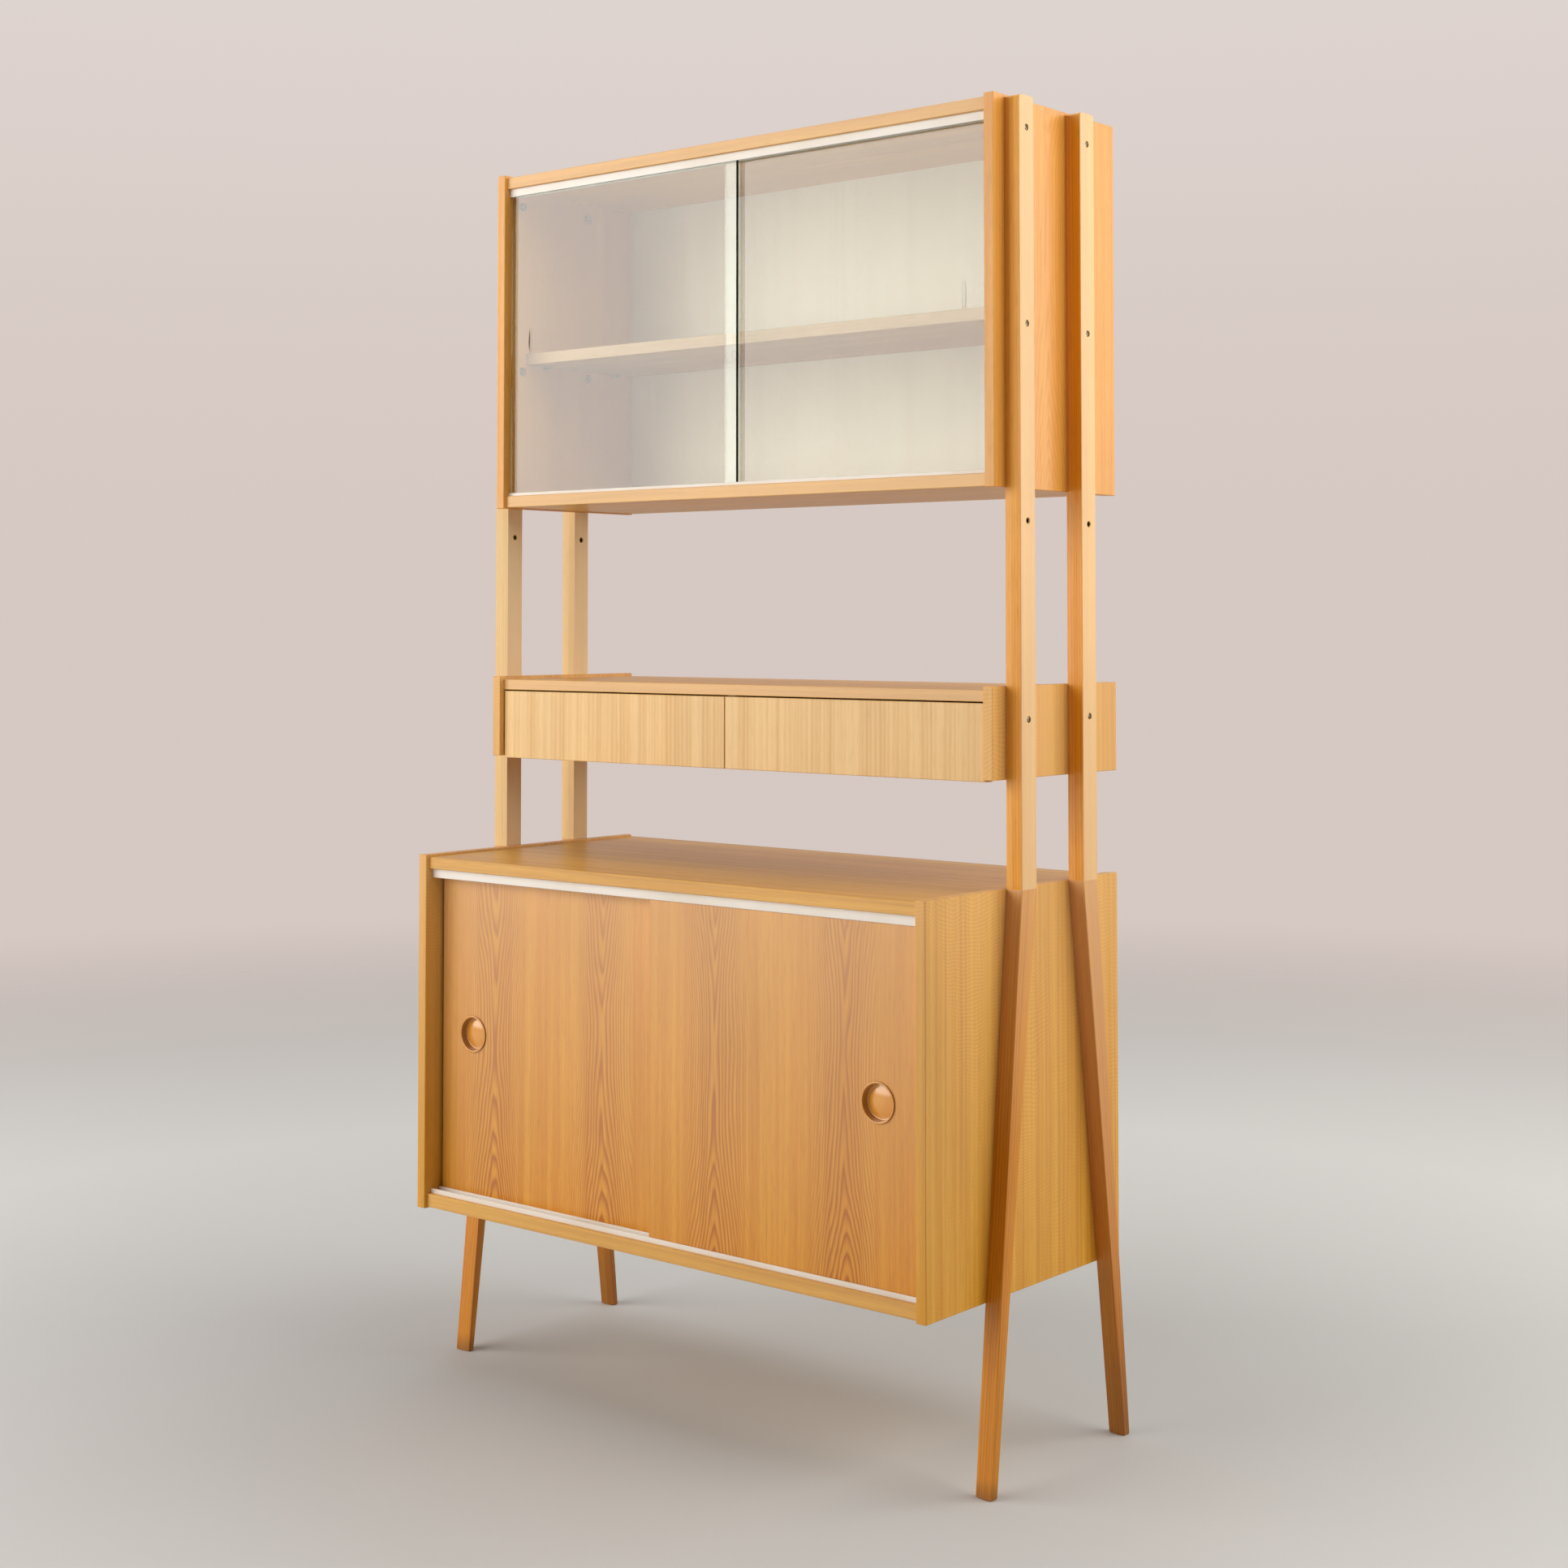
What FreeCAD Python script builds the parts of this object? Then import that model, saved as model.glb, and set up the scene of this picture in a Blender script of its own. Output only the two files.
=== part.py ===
import FreeCAD, Part
import os

# Highboard: a sliding-door base cabinet, a two-drawer unit and a glazed upper cabinet,
# all carried between four posts that run down into splayed, tapered legs.
# Millimetres, +Z up, front towards -Y, origin on the floor under the middle of the outer box.

# Overall sizes
CABINET_WIDTH = 960.0
SIDE_THICK = 16.0
LOWER_DEPTH = 460.0
UPPER_DEPTH = 302.0
UNIT_ADVANCE = 6.0
FLOOR_CLEARANCE = 243.0
LOWER_HEIGHT = 534.0
LOWER_GAP = 145.0
UNIT_HEIGHT = 125.0
UPPER_GAP = 266.0
UPPER_HEIGHT = 532.0
EDGE_EASE = 0.8

# Horizontal boards: thickness, setback from the sides' front edges, drop and rise inside the sides
BOARD_SETBACK = 6.0
LOWER_TOP_THICK = 18.0
LOWER_TOP_DROP = 3.0
LOWER_BOTTOM_THICK = 20.0
UPPER_TOP_THICK = 18.0
UPPER_TOP_DROP = 3.5
UPPER_BOTTOM_THICK = 18.0
BOTTOM_RISE = 1.5
UNIT_TOP_THICK = 16.0
UNIT_TOP_DROP = 5.0
UNIT_TOP_SETBACK = 8.5
UNIT_BOTTOM_THICK = 6.0
FINGER_ROOM = 25.0

# Back panels, seated in a rebate of the sides
BACK_THICK = 5.0
BACK_RECESS = 1.0
REBATE_DEPTH = 8.0
REBATE_PLAY = 0.5

# Shelves on pins
SHELF_THICK = 18.0
UPPER_SHELF_RISE = 232.0
UPPER_SHELF_SETBACK = 50.0
LOWER_SHELF_RISE = 240.0
LOWER_SHELF_SETBACK = 62.0
SHELF_SIDE_PLAY = 1.0
SHELF_BACK_PLAY = 3.0
PIN_DIAMETER = 5.0
PIN_LENGTH = 20.0
PIN_SEAT_DEPTH = 9.0
PIN_INSET = 42.0

# Posts and legs
POST_THICK = 26.0
POST_DEPTH = 35.0
POST_FRONT_SETBACK = 23.5
POST_REAR_SETBACK = 93.0
POST_TOP_DROP = 3.0
POST_TOP_ROUND = 6.0
BEVEL_WIDTH = 11.0
BEVEL_DEPTH = 2.0
FOOT_SPLAY = 76.0
FOOT_DEPTH = 13.5
FOOT_EASE = 1.5
DOWEL_DIAMETER = 10.0
DOWEL_LENGTH = 60.0

# Bolts through the posts, screws into the legs
UPPER_BOLT_DROP = 46.0
UPPER_BOLT_RISE = 220.5
UNIT_BOLT_DROP = 44.5
BOLT_DIAMETER = 6.0
BOLT_HEAD_DIAMETER = 9.0
BOLT_HEAD_LENGTH = 5.0
BOLT_HEAD_RECESS = 1.5
SLOT_WIDTH = 1.4
SLOT_DEPTH = 1.6
NUT_DIAMETER = 8.0
NUT_HEAD_DIAMETER = 14.0
NUT_HEAD_HEIGHT = 2.5
NUT_END_WALL = 2.0
BOLT_END_PLAY = 1.0
SLEEVE_DIAMETER = 9.0
SLEEVE_BORE = 6.6
SLEEVE_RECESS = 0.5
SCREW_DIAMETER = 4.5
SCREW_HEAD_DIAMETER = 9.0
SCREW_HEAD_LENGTH = 3.0
SCREW_LENGTH = 36.0
SCREW_DROP = 60.0
SCREW_RISE = 60.0
HOLE_PLAY = 0.15
HEAD_SIDES = 12
SHANK_SIDES = 6

# Wooden sliding doors and their double track
DOOR_THICK = 13.0
DOOR_OVERLAP = 28.0
DOOR_END_GAP = 4.0
DOOR_TRACK_SETBACK = 13.0
DOOR_RIB = 2.4
DOOR_GROOVE = 14.2
DOOR_TRACK_WEB = 1.5
DOOR_TRACK_TOP_HEIGHT = 14.0
DOOR_TRACK_BOTTOM_HEIGHT = 6.8
DOOR_ENGAGE = 6.0

# Sliding glass panes and their double track
GLASS_THICK = 5.0
GLASS_OVERLAP = 28.0
GLASS_END_GAP = 3.0
GLASS_TRACK_SETBACK = 11.0
GLASS_RIB = 1.2
GLASS_GROOVE = 5.8
GLASS_TRACK_WEB = 1.2
GLASS_TRACK_TOP_HEIGHT = 12.5
GLASS_TRACK_BOTTOM_HEIGHT = 4.8
GLASS_ENGAGE = 6.0
SLIDE_PLAY = 0.3
TRACK_END_PLAY = 0.5
RIB_NOSE = 0.3

# Ground finger grips in the glass
GRIP_INSET = 44.0
GRIP_RISE = 244.0
GRIP_LENGTH = 42.0
GRIP_WIDTH = 9.0
GRIP_DEPTH = 1.8

# Turned finger pulls
PULL_DIAMETER = 55.0
PULL_INSET = 68.0
PULL_RISE = 243.0
PULL_BODY_DIAMETER = 50.0
PULL_BODY_DEPTH = 10.0
PULL_PROUD = 2.2
PULL_RIM_WIDTH = 4.0
PULL_FLOOR = 2.0
DISH_STEPS = 3

# Drawers on grooved sides and wooden runners
DRAWER_FRONT_THICK = 16.0
DRAWER_FRONT_TOP_GAP = 2.0
DRAWER_FRONT_SIDE_GAP = 2.0
DRAWER_FRONT_SPLIT = 1.5
DRAWER_FRONT_HANG = 3.0
DRAWER_BOX_DEPTH = 255.0
DRAWER_BOX_HEIGHT = 76.0
DRAWER_SIDE_THICK = 12.0
DRAWER_BASE_THICK = 4.0
DRAWER_BASE_RISE = 6.0
DRAWER_BASE_SEAT = 5.0
DRAWER_FLOOR_GAP = 2.5
DRAWER_SIDE_ROOM = 6.0
DIVIDER_THICK = 16.0
DIVIDER_PLAY = 1.0
RUNNER_HEIGHT = 10.0
RUNNER_RISE = 34.0
RUNNER_SEAT = 5.6
RUNNER_END_ROOM = 8.0
GROOVE_PLAY = 0.3

# Levels and planes that follow from the sizes
HALF = CABINET_WIDTH / 2
INNER = HALF - SIDE_THICK
OUTER = HALF + POST_THICK
REAR = LOWER_DEPTH / 2
LOWER_FRONT = REAR - LOWER_DEPTH
UPPER_FRONT = REAR - UPPER_DEPTH
UNIT_FRONT = UPPER_FRONT - UNIT_ADVANCE
BACK_FACE = REAR - BACK_RECESS - BACK_THICK
LOWER_BASE = FLOOR_CLEARANCE
LOWER_TOP = LOWER_BASE + LOWER_HEIGHT
UNIT_BASE = LOWER_TOP + LOWER_GAP
UNIT_TOP = UNIT_BASE + UNIT_HEIGHT
UPPER_BASE = UNIT_TOP + UPPER_GAP
UPPER_TOP = UPPER_BASE + UPPER_HEIGHT
POST_TOP = UPPER_TOP - POST_TOP_DROP
FRONT_POST_Y = UPPER_FRONT + POST_FRONT_SETBACK + POST_DEPTH / 2
REAR_POST_Y = REAR - POST_REAR_SETBACK - POST_DEPTH / 2
FRAME_MIDDLE_Y = (FRONT_POST_Y + REAR_POST_Y) / 2
POST_ROWS = (FRONT_POST_Y, REAR_POST_Y)
UPPER_BOLTS_Z = (UPPER_TOP - UPPER_BOLT_DROP, UPPER_BASE + UPPER_BOLT_RISE)
UNIT_BOLTS_Z = (UNIT_TOP - UNIT_BOLT_DROP,)
SPARE_HOLE_Z = (UPPER_BOLTS_Z[-1] + UNIT_BOLTS_Z[0]) / 2
HEAD_SEAT = BOLT_HEAD_RECESS + BOLT_HEAD_LENGTH
TOUCH = 0.01

vector = FreeCAD.Vector
nodes = {}


def block(x0, x1, y0, y1, z0, z1):
    return Part.makeBox(x1 - x0, y1 - y0, z1 - z0, vector(x0, y0, z0))


def polygon(points):
    return Part.Wire(Part.makePolygon(points + points[:1]).Edges)


# A bar of many sides along X or Z: fasteners repeat, so they get few faces
def prism(start, along, diameter, sides):
    spoke = vector(0, diameter / 2, 0)
    turns = [FreeCAD.Rotation(along, 360.0 * (number + 0.5) / sides) for number in range(sides)]
    corners = [start + turn.multVec(spoke) for turn in turns]
    return Part.Face(polygon(corners)).extrude(along)


def shank_x(x0, x1, y, z, diameter):
    return prism(vector(x0, y, z), vector(x1 - x0, 0, 0), diameter, SHANK_SIDES)


def head_x(x0, x1, y, z, diameter):
    return prism(vector(x0, y, z), vector(x1 - x0, 0, 0), diameter, HEAD_SIDES)


def flipped(shape):
    return shape.mirror(vector(0, 0, 0), vector(1, 0, 0))


def eased(shape, wanted):
    edges = [edge for edge in shape.Edges if wanted(edge.CenterOfMass)]
    return shape.makeChamfer(EDGE_EASE, edges)


def group(solids):
    return Part.makeCompound(solids)


def pair(name, right):
    nodes[name + "_right"] = right
    nodes[name + "_left"] = flipped(right)


# Cabinet shells


def side_panel(front, base, top):
    panel = block(INNER, HALF, front, REAR, base, top)
    panel = eased(panel, lambda p: abs(p.y - front) < TOUCH or abs(p.x - HALF) < TOUCH)
    rebate = block(INNER, INNER + REBATE_DEPTH, BACK_FACE, REAR, base, top)
    return panel.cut(rebate)


def board(front, z0, z1):
    plank = block(-INNER, INNER, front, BACK_FACE, z0, z1)
    return eased(plank, lambda p: abs(p.y - front) < TOUCH and abs(p.x) < TOUCH)


def back_panel(z0, z1):
    reach = INNER + REBATE_DEPTH - REBATE_PLAY
    return block(-reach, reach, BACK_FACE, BACK_FACE + BACK_THICK, z0, z1)


def shelf(front, z0):
    reach = INNER - SHELF_SIDE_PLAY
    plank = block(-reach, reach, front, BACK_FACE - SHELF_BACK_PLAY, z0, z0 + SHELF_THICK)
    return eased(plank, lambda p: abs(p.y - front) < TOUCH and abs(p.x) < TOUCH)


def pin_rows(front):
    return (front + PIN_INSET, BACK_FACE - SHELF_BACK_PLAY - PIN_INSET)


def shelf_pins(front, shelf_z):
    tip = INNER + PIN_SEAT_DEPTH
    z = shelf_z - PIN_DIAMETER / 2
    right = [shank_x(tip - PIN_LENGTH, tip, y, z, PIN_DIAMETER) for y in pin_rows(front)]
    return group(right + [flipped(pin) for pin in right])


def pin_holes(front, shelf_z):
    tip = INNER + PIN_SEAT_DEPTH + HOLE_PLAY
    width = PIN_DIAMETER + 2 * HOLE_PLAY
    return [shank_x(INNER, tip, y, shelf_z - PIN_DIAMETER / 2, width) for y in pin_rows(front)]


# Fasteners, modelled on the right-hand side and mirrored


def at_posts(levels):
    return [(y, z) for y in POST_ROWS for z in levels]


def nut_holes(levels):
    return [shank_x(INNER, HALF, y, z, NUT_DIAMETER + 2 * HOLE_PLAY) for y, z in at_posts(levels)]


def sleeve_nut(y, z):
    head = head_x(INNER - NUT_HEAD_HEIGHT, INNER, y, z, NUT_HEAD_DIAMETER)
    barrel = shank_x(INNER, HALF, y, z, NUT_DIAMETER)
    bore = shank_x(INNER + NUT_END_WALL, HALF, y, z, BOLT_DIAMETER + 2 * HOLE_PLAY)
    return head.fuse(barrel).cut(bore)


def bolt(y, z):
    seat = OUTER - HEAD_SEAT
    face = OUTER - BOLT_HEAD_RECESS
    head = head_x(seat, face, y, z, BOLT_HEAD_DIAMETER)
    shank = shank_x(INNER + NUT_END_WALL + BOLT_END_PLAY, seat, y, z, BOLT_DIAMETER)
    reach = BOLT_HEAD_DIAMETER
    slot = block(face - SLOT_DEPTH, face, y - reach, y + reach, z - SLOT_WIDTH / 2, z + SLOT_WIDTH / 2)
    return head.fuse(shank).cut(slot)


def both_sides(make, levels):
    right = [make(y, z) for y, z in at_posts(levels)]
    return group(right + [flipped(solid) for solid in right])


def hole_sleeve(y, z):
    outside = head_x(HALF + SLEEVE_RECESS, OUTER - SLEEVE_RECESS, y, z, SLEEVE_DIAMETER)
    return outside.cut(Part.makeCylinder(SLEEVE_BORE / 2, POST_THICK, vector(HALF, y, z), vector(1, 0, 0)))


# Posts and legs


def post_section(front, rear, z, inset):
    inside = HALF + inset
    outside = OUTER - inset
    ridge = inside + BEVEL_WIDTH
    return [
        vector(inside, front + BEVEL_DEPTH + inset, z),
        vector(ridge, front + inset, z),
        vector(outside - EDGE_EASE, front + inset, z),
        vector(outside, front + EDGE_EASE + inset, z),
        vector(outside, rear - EDGE_EASE - inset, z),
        vector(outside - EDGE_EASE, rear - inset, z),
        vector(ridge, rear - inset, z),
        vector(inside, rear - BEVEL_DEPTH - inset, z),
    ]


def skinned(rings):
    faces = [Part.Face(polygon(rings[0])), Part.Face(polygon(rings[-1]))]
    for low, high in zip(rings, rings[1:]):
        for number in range(len(low)):
            corners = [low[number - 1], low[number], high[number], high[number - 1]]
            faces.append(Part.Face(polygon(corners)))
    solid = Part.Solid(Part.Shell(faces))
    if solid.Volume < 0:
        solid.reverse()
    return solid


def rounded_end(front, rear):
    shoulder = POST_TOP - POST_TOP_ROUND
    bend = POST_TOP_ROUND * (1 - 0.5 ** 0.5)
    corners = [
        vector(HALF, front, LOWER_TOP),
        vector(HALF, front, shoulder),
        vector(HALF, front + POST_TOP_ROUND, POST_TOP),
        vector(HALF, rear - POST_TOP_ROUND, POST_TOP),
        vector(HALF, rear, shoulder),
        vector(HALF, rear, LOWER_TOP),
    ]
    outline = Part.Wire([
        Part.LineSegment(corners[0], corners[1]).toShape(),
        Part.Arc(corners[1], vector(HALF, front + bend, POST_TOP - bend), corners[2]).toShape(),
        Part.LineSegment(corners[2], corners[3]).toShape(),
        Part.Arc(corners[3], vector(HALF, rear - bend, POST_TOP - bend), corners[4]).toShape(),
        Part.LineSegment(corners[4], corners[5]).toShape(),
        Part.LineSegment(corners[5], corners[0]).toShape(),
    ])
    return Part.Face(outline).extrude(vector(POST_THICK, 0, 0))


def dowel_hole(y):
    length = DOWEL_LENGTH + 2 * HOLE_PLAY
    start = vector(HALF + POST_THICK / 2, y, LOWER_TOP - length / 2)
    return prism(start, vector(0, 0, length), DOWEL_DIAMETER + 2 * HOLE_PLAY, SHANK_SIDES)


def dowel(y):
    start = vector(HALF + POST_THICK / 2, y, LOWER_TOP - DOWEL_LENGTH / 2)
    return prism(start, vector(0, 0, DOWEL_LENGTH), DOWEL_DIAMETER, SHANK_SIDES)


def post(y):
    front = y - POST_DEPTH / 2
    rear = y + POST_DEPTH / 2
    section = Part.Face(polygon(post_section(front, rear, LOWER_TOP, 0.0)))
    bar = section.extrude(vector(0, 0, POST_TOP - LOWER_TOP)).common(rounded_end(front, rear))
    cuts = [dowel_hole(y), head_x(HALF, OUTER, y, SPARE_HOLE_Z, SLEEVE_DIAMETER + 2 * HOLE_PLAY)]
    for z in UPPER_BOLTS_Z + UNIT_BOLTS_Z:
        cuts.append(shank_x(HALF, OUTER, y, z, BOLT_DIAMETER + 2 * HOLE_PLAY))
        cuts.append(head_x(OUTER - HEAD_SEAT, OUTER, y, z, BOLT_HEAD_DIAMETER + 2 * HOLE_PLAY))
    return bar.cut(cuts)


def leg_edges(z):
    rise = z / LOWER_TOP
    front = FRONT_POST_Y - POST_DEPTH / 2 - FOOT_SPLAY * (1 - rise)
    rear = front + FOOT_DEPTH + (POST_DEPTH - FOOT_DEPTH) * rise
    return front, rear


def leg_middle(z):
    return sum(leg_edges(z)) / 2


def front_leg():
    leg = skinned([
        post_section(*leg_edges(0.0), 0.0, FOOT_EASE),
        post_section(*leg_edges(FOOT_EASE), FOOT_EASE, 0.0),
        post_section(*leg_edges(LOWER_TOP), LOWER_TOP, 0.0),
    ])
    return leg.cut([dowel_hole(FRONT_POST_Y)] + [screw_hole(z) for z in SCREWS_Z])


def to_rear(shape):
    return shape.mirror(vector(0, FRAME_MIDDLE_Y, 0), vector(0, 1, 0))


SCREWS_Z = (LOWER_TOP - SCREW_DROP, LOWER_BASE + SCREW_RISE)


def screw_shape(z, play):
    y = leg_middle(z)
    head = head_x(INNER, INNER + SCREW_HEAD_LENGTH, y, z, SCREW_HEAD_DIAMETER + 2 * play)
    shank = shank_x(INNER, INNER + SCREW_LENGTH + play, y, z, SCREW_DIAMETER + 2 * play)
    return head.fuse(shank).removeSplitter()


def leg_screw(z):
    return screw_shape(z, 0.0)


def screw_hole(z):
    return screw_shape(z, HOLE_PLAY)


# Double tracks and what slides in them


def track(front, level, height, web, rib, groove, upwards):
    way = 1 if upwards else -1
    reach = INNER - TRACK_END_PLAY
    width = 3 * rib + 2 * groove
    nose = rib * RIB_NOSE

    def point(y, rise):
        return vector(-reach, front + y, level + way * rise)

    corners = []
    for number in range(3):
        start = number * (rib + groove)
        corners.append(point(start, web))
        corners.append(point(start, height - nose))
        corners.append(point(start + nose, height))
        corners.append(point(start + rib - nose, height))
        corners.append(point(start + rib, height - nose))
        corners.append(point(start + rib, web))
    corners = [point(0, 0)] + corners[1:-1] + [point(width, 0)]
    return Part.Face(polygon(corners)).extrude(vector(2 * reach, 0, 0))


def channel_front(track_front, rib, groove, thickness, rear_channel):
    play = (groove - thickness) / 2
    step = rib + groove if rear_channel else 0.0
    return track_front + rib + play + step


def slab(side, overlap, end_gap, front, thickness, z0, z1):
    inside = -overlap / 2
    outside = INNER - end_gap
    panel = block(inside, outside, front, front + thickness, z0, z1)
    panel = eased(panel, lambda p: abs(p.y - front) < TOUCH or abs(p.y - front - thickness) < TOUCH)
    return panel if side > 0 else flipped(panel)


def finger_pull():
    rim = PULL_DIAMETER / 2
    body = PULL_BODY_DIAMETER / 2
    dish_edge = rim - PULL_RIM_WIDTH
    dish_floor = PULL_BODY_DEPTH - PULL_FLOOR
    sag = dish_floor + PULL_PROUD
    bowl = (dish_edge ** 2 + sag ** 2) / (2 * sag)
    rim_ease = PULL_PROUD / 2
    corners = [vector(0, dish_floor, 0), vector(dish_edge / DISH_STEPS, dish_floor, 0)]
    for step in range(2, DISH_STEPS + 1):
        radius = dish_edge * step / DISH_STEPS
        corners.append(vector(radius, dish_floor - bowl + (bowl ** 2 - radius ** 2) ** 0.5, 0))
    corners.append(vector(rim - rim_ease, -PULL_PROUD, 0))
    corners.append(vector(rim, rim_ease - PULL_PROUD, 0))
    corners.append(vector(rim, 0, 0))
    corners.append(vector(body, 0, 0))
    corners.append(vector(body, PULL_BODY_DEPTH, 0))
    corners.append(vector(0, PULL_BODY_DEPTH, 0))
    return Part.Face(polygon(corners)).revolve(vector(0, 0, 0), vector(0, 1, 0), 360)


def pull_pocket(x, front, z):
    depth = PULL_BODY_DEPTH + HOLE_PLAY
    return Part.makeCylinder(PULL_BODY_DIAMETER / 2 + HOLE_PLAY, depth, vector(x, front, z), vector(0, 1, 0))


def ground_grip(x, front, z):
    wheel = (GRIP_LENGTH ** 2 / 4 + GRIP_DEPTH ** 2) / (2 * GRIP_DEPTH)
    edge = (GRIP_WIDTH ** 2 / 4 + GRIP_DEPTH ** 2) / (2 * GRIP_DEPTH)
    centre = vector(x, front + GRIP_DEPTH - wheel, z)
    return Part.makeTorus(wheel - edge, edge, centre, vector(1, 0, 0))


# Frame of posts and legs

for place, row in (("front", FRONT_POST_Y), ("rear", REAR_POST_Y)):
    pair("post_" + place, post(row))
pair("leg_front", front_leg())
pair("leg_rear", to_rear(front_leg()))
right_dowels = [dowel(y) for y in POST_ROWS]
nodes["post_dowels"] = group(right_dowels + [flipped(pin) for pin in right_dowels])
nodes["post_hole_sleeves"] = both_sides(hole_sleeve, (SPARE_HOLE_Z,))

# Lower cabinet

lower_top_z = LOWER_TOP - LOWER_TOP_DROP - LOWER_TOP_THICK
lower_bottom_z = LOWER_BASE + BOTTOM_RISE
lower_floor_z = lower_bottom_z + LOWER_BOTTOM_THICK
lower_shelf_front = LOWER_FRONT + LOWER_SHELF_SETBACK
lower_shelf_z = lower_floor_z + LOWER_SHELF_RISE
front_screws = [screw_hole(z) for z in SCREWS_Z]
lower_side = side_panel(LOWER_FRONT, LOWER_BASE, LOWER_TOP)
lower_side = lower_side.cut(front_screws + [to_rear(hole) for hole in front_screws])
pair("lower_side", lower_side.cut(pin_holes(lower_shelf_front, lower_shelf_z)))
nodes["lower_top"] = board(LOWER_FRONT + BOARD_SETBACK, lower_top_z, lower_top_z + LOWER_TOP_THICK)
nodes["lower_bottom"] = board(LOWER_FRONT + BOARD_SETBACK, lower_bottom_z, lower_floor_z)
nodes["lower_back"] = back_panel(lower_bottom_z, lower_top_z + LOWER_TOP_THICK)
nodes["lower_shelf"] = shelf(lower_shelf_front, lower_shelf_z)
nodes["lower_shelf_pins"] = shelf_pins(lower_shelf_front, lower_shelf_z)
right_screws = [leg_screw(z) for z in SCREWS_Z]
right_screws = right_screws + [to_rear(screw) for screw in right_screws]
nodes["leg_screws"] = group(right_screws + [flipped(screw) for screw in right_screws])

# Sliding doors: the right one runs in the front groove, the left one behind it

door_track_front = LOWER_FRONT + DOOR_TRACK_SETBACK
door_track = (DOOR_TRACK_WEB, DOOR_RIB, DOOR_GROOVE)
nodes["lower_track_top"] = track(door_track_front, lower_top_z, DOOR_TRACK_TOP_HEIGHT, *door_track, False)
nodes["lower_track_bottom"] = track(door_track_front, lower_floor_z, DOOR_TRACK_BOTTOM_HEIGHT,
                                    *door_track, True)
door_z0 = lower_floor_z + DOOR_TRACK_WEB + SLIDE_PLAY
door_z1 = lower_top_z - DOOR_TRACK_TOP_HEIGHT + DOOR_ENGAGE
pull_x = INNER - DOOR_END_GAP - PULL_INSET
pull_z = door_z0 + PULL_RISE
for side, hand, rear_channel in ((1, "right", False), (-1, "left", True)):
    front = channel_front(door_track_front, DOOR_RIB, DOOR_GROOVE, DOOR_THICK, rear_channel)
    door = slab(side, DOOR_OVERLAP, DOOR_END_GAP, front, DOOR_THICK, door_z0, door_z1)
    nodes["lower_door_" + hand] = door.cut(pull_pocket(side * pull_x, front, pull_z))
    nodes["pull_" + hand] = finger_pull().translated(vector(side * pull_x, front, pull_z))

# Drawer unit

unit_top_z = UNIT_TOP - UNIT_TOP_DROP - UNIT_TOP_THICK
unit_bottom_z = UNIT_BASE + BOTTOM_RISE
unit_floor_z = unit_bottom_z + UNIT_BOTTOM_THICK
drawer_face = UNIT_FRONT + UNIT_TOP_SETBACK
box_front = drawer_face + DRAWER_FRONT_THICK
box_rear = box_front + DRAWER_BOX_DEPTH
box_z0 = unit_floor_z + DRAWER_FLOOR_GAP
box_z1 = box_z0 + DRAWER_BOX_HEIGHT
base_z0 = box_z0 + DRAWER_BASE_RISE
base_z1 = base_z0 + DRAWER_BASE_THICK
runner_z0 = box_z0 + RUNNER_RISE
runner_z1 = runner_z0 + RUNNER_HEIGHT
box_inside = DIVIDER_THICK / 2 + DRAWER_SIDE_ROOM
box_outside = INNER - DRAWER_SIDE_ROOM
divider_front = box_front + DIVIDER_PLAY

unit_side = side_panel(UNIT_FRONT, UNIT_BASE, UNIT_TOP)
pair("drawer_unit_side", unit_side.cut(nut_holes(UNIT_BOLTS_Z)))
nodes["drawer_unit_top"] = board(drawer_face, unit_top_z, unit_top_z + UNIT_TOP_THICK)
nodes["drawer_unit_bottom"] = board(box_front + FINGER_ROOM, unit_bottom_z, unit_floor_z)
nodes["drawer_unit_back"] = back_panel(unit_bottom_z, unit_top_z + UNIT_TOP_THICK)
nodes["drawer_unit_divider"] = block(-DIVIDER_THICK / 2, DIVIDER_THICK / 2, divider_front, BACK_FACE,
                                     unit_floor_z, unit_top_z)
nodes["drawer_unit_bolts"] = both_sides(bolt, UNIT_BOLTS_Z)
nodes["drawer_unit_nuts"] = both_sides(sleeve_nut, UNIT_BOLTS_Z)

runner_rear = box_rear - RUNNER_END_ROOM
outer_runner = block(box_outside - RUNNER_SEAT, INNER, divider_front, runner_rear, runner_z0, runner_z1)
inner_runner = block(DIVIDER_THICK / 2, box_inside + RUNNER_SEAT, divider_front, runner_rear,
                     runner_z0, runner_z1)
right_runners = [outer_runner, inner_runner]
nodes["drawer_runners"] = group(right_runners + [flipped(runner) for runner in right_runners])

# Drawers: a front that hangs below the sides as the pull, grooved sides, back and base

runner_groove_depth = RUNNER_SEAT + GROOVE_PLAY
base_seat = DRAWER_BASE_SEAT + GROOVE_PLAY
base_cavity = block(box_inside + DRAWER_SIDE_THICK - base_seat, box_outside - DRAWER_SIDE_THICK + base_seat,
                    box_front - base_seat, box_rear, base_z0 - GROOVE_PLAY, base_z1 + GROOVE_PLAY)


def drawer_front():
    left = DRAWER_FRONT_SPLIT / 2
    right = INNER - DRAWER_FRONT_SIDE_GAP
    base = UNIT_BASE - DRAWER_FRONT_HANG
    panel = block(left, right, drawer_face, box_front, base, unit_top_z - DRAWER_FRONT_TOP_GAP)
    panel = eased(panel, lambda p: abs(p.y - drawer_face) < TOUCH)
    return panel.cut(base_cavity)


def drawer_side(left, right, groove_left, groove_right):
    plank = block(left, right, box_front, box_rear, box_z0, box_z1)
    groove = block(groove_left, groove_right, box_front, box_rear,
                   runner_z0 - GROOVE_PLAY, runner_z1 + GROOVE_PLAY)
    return plank.cut([groove, base_cavity])


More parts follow.
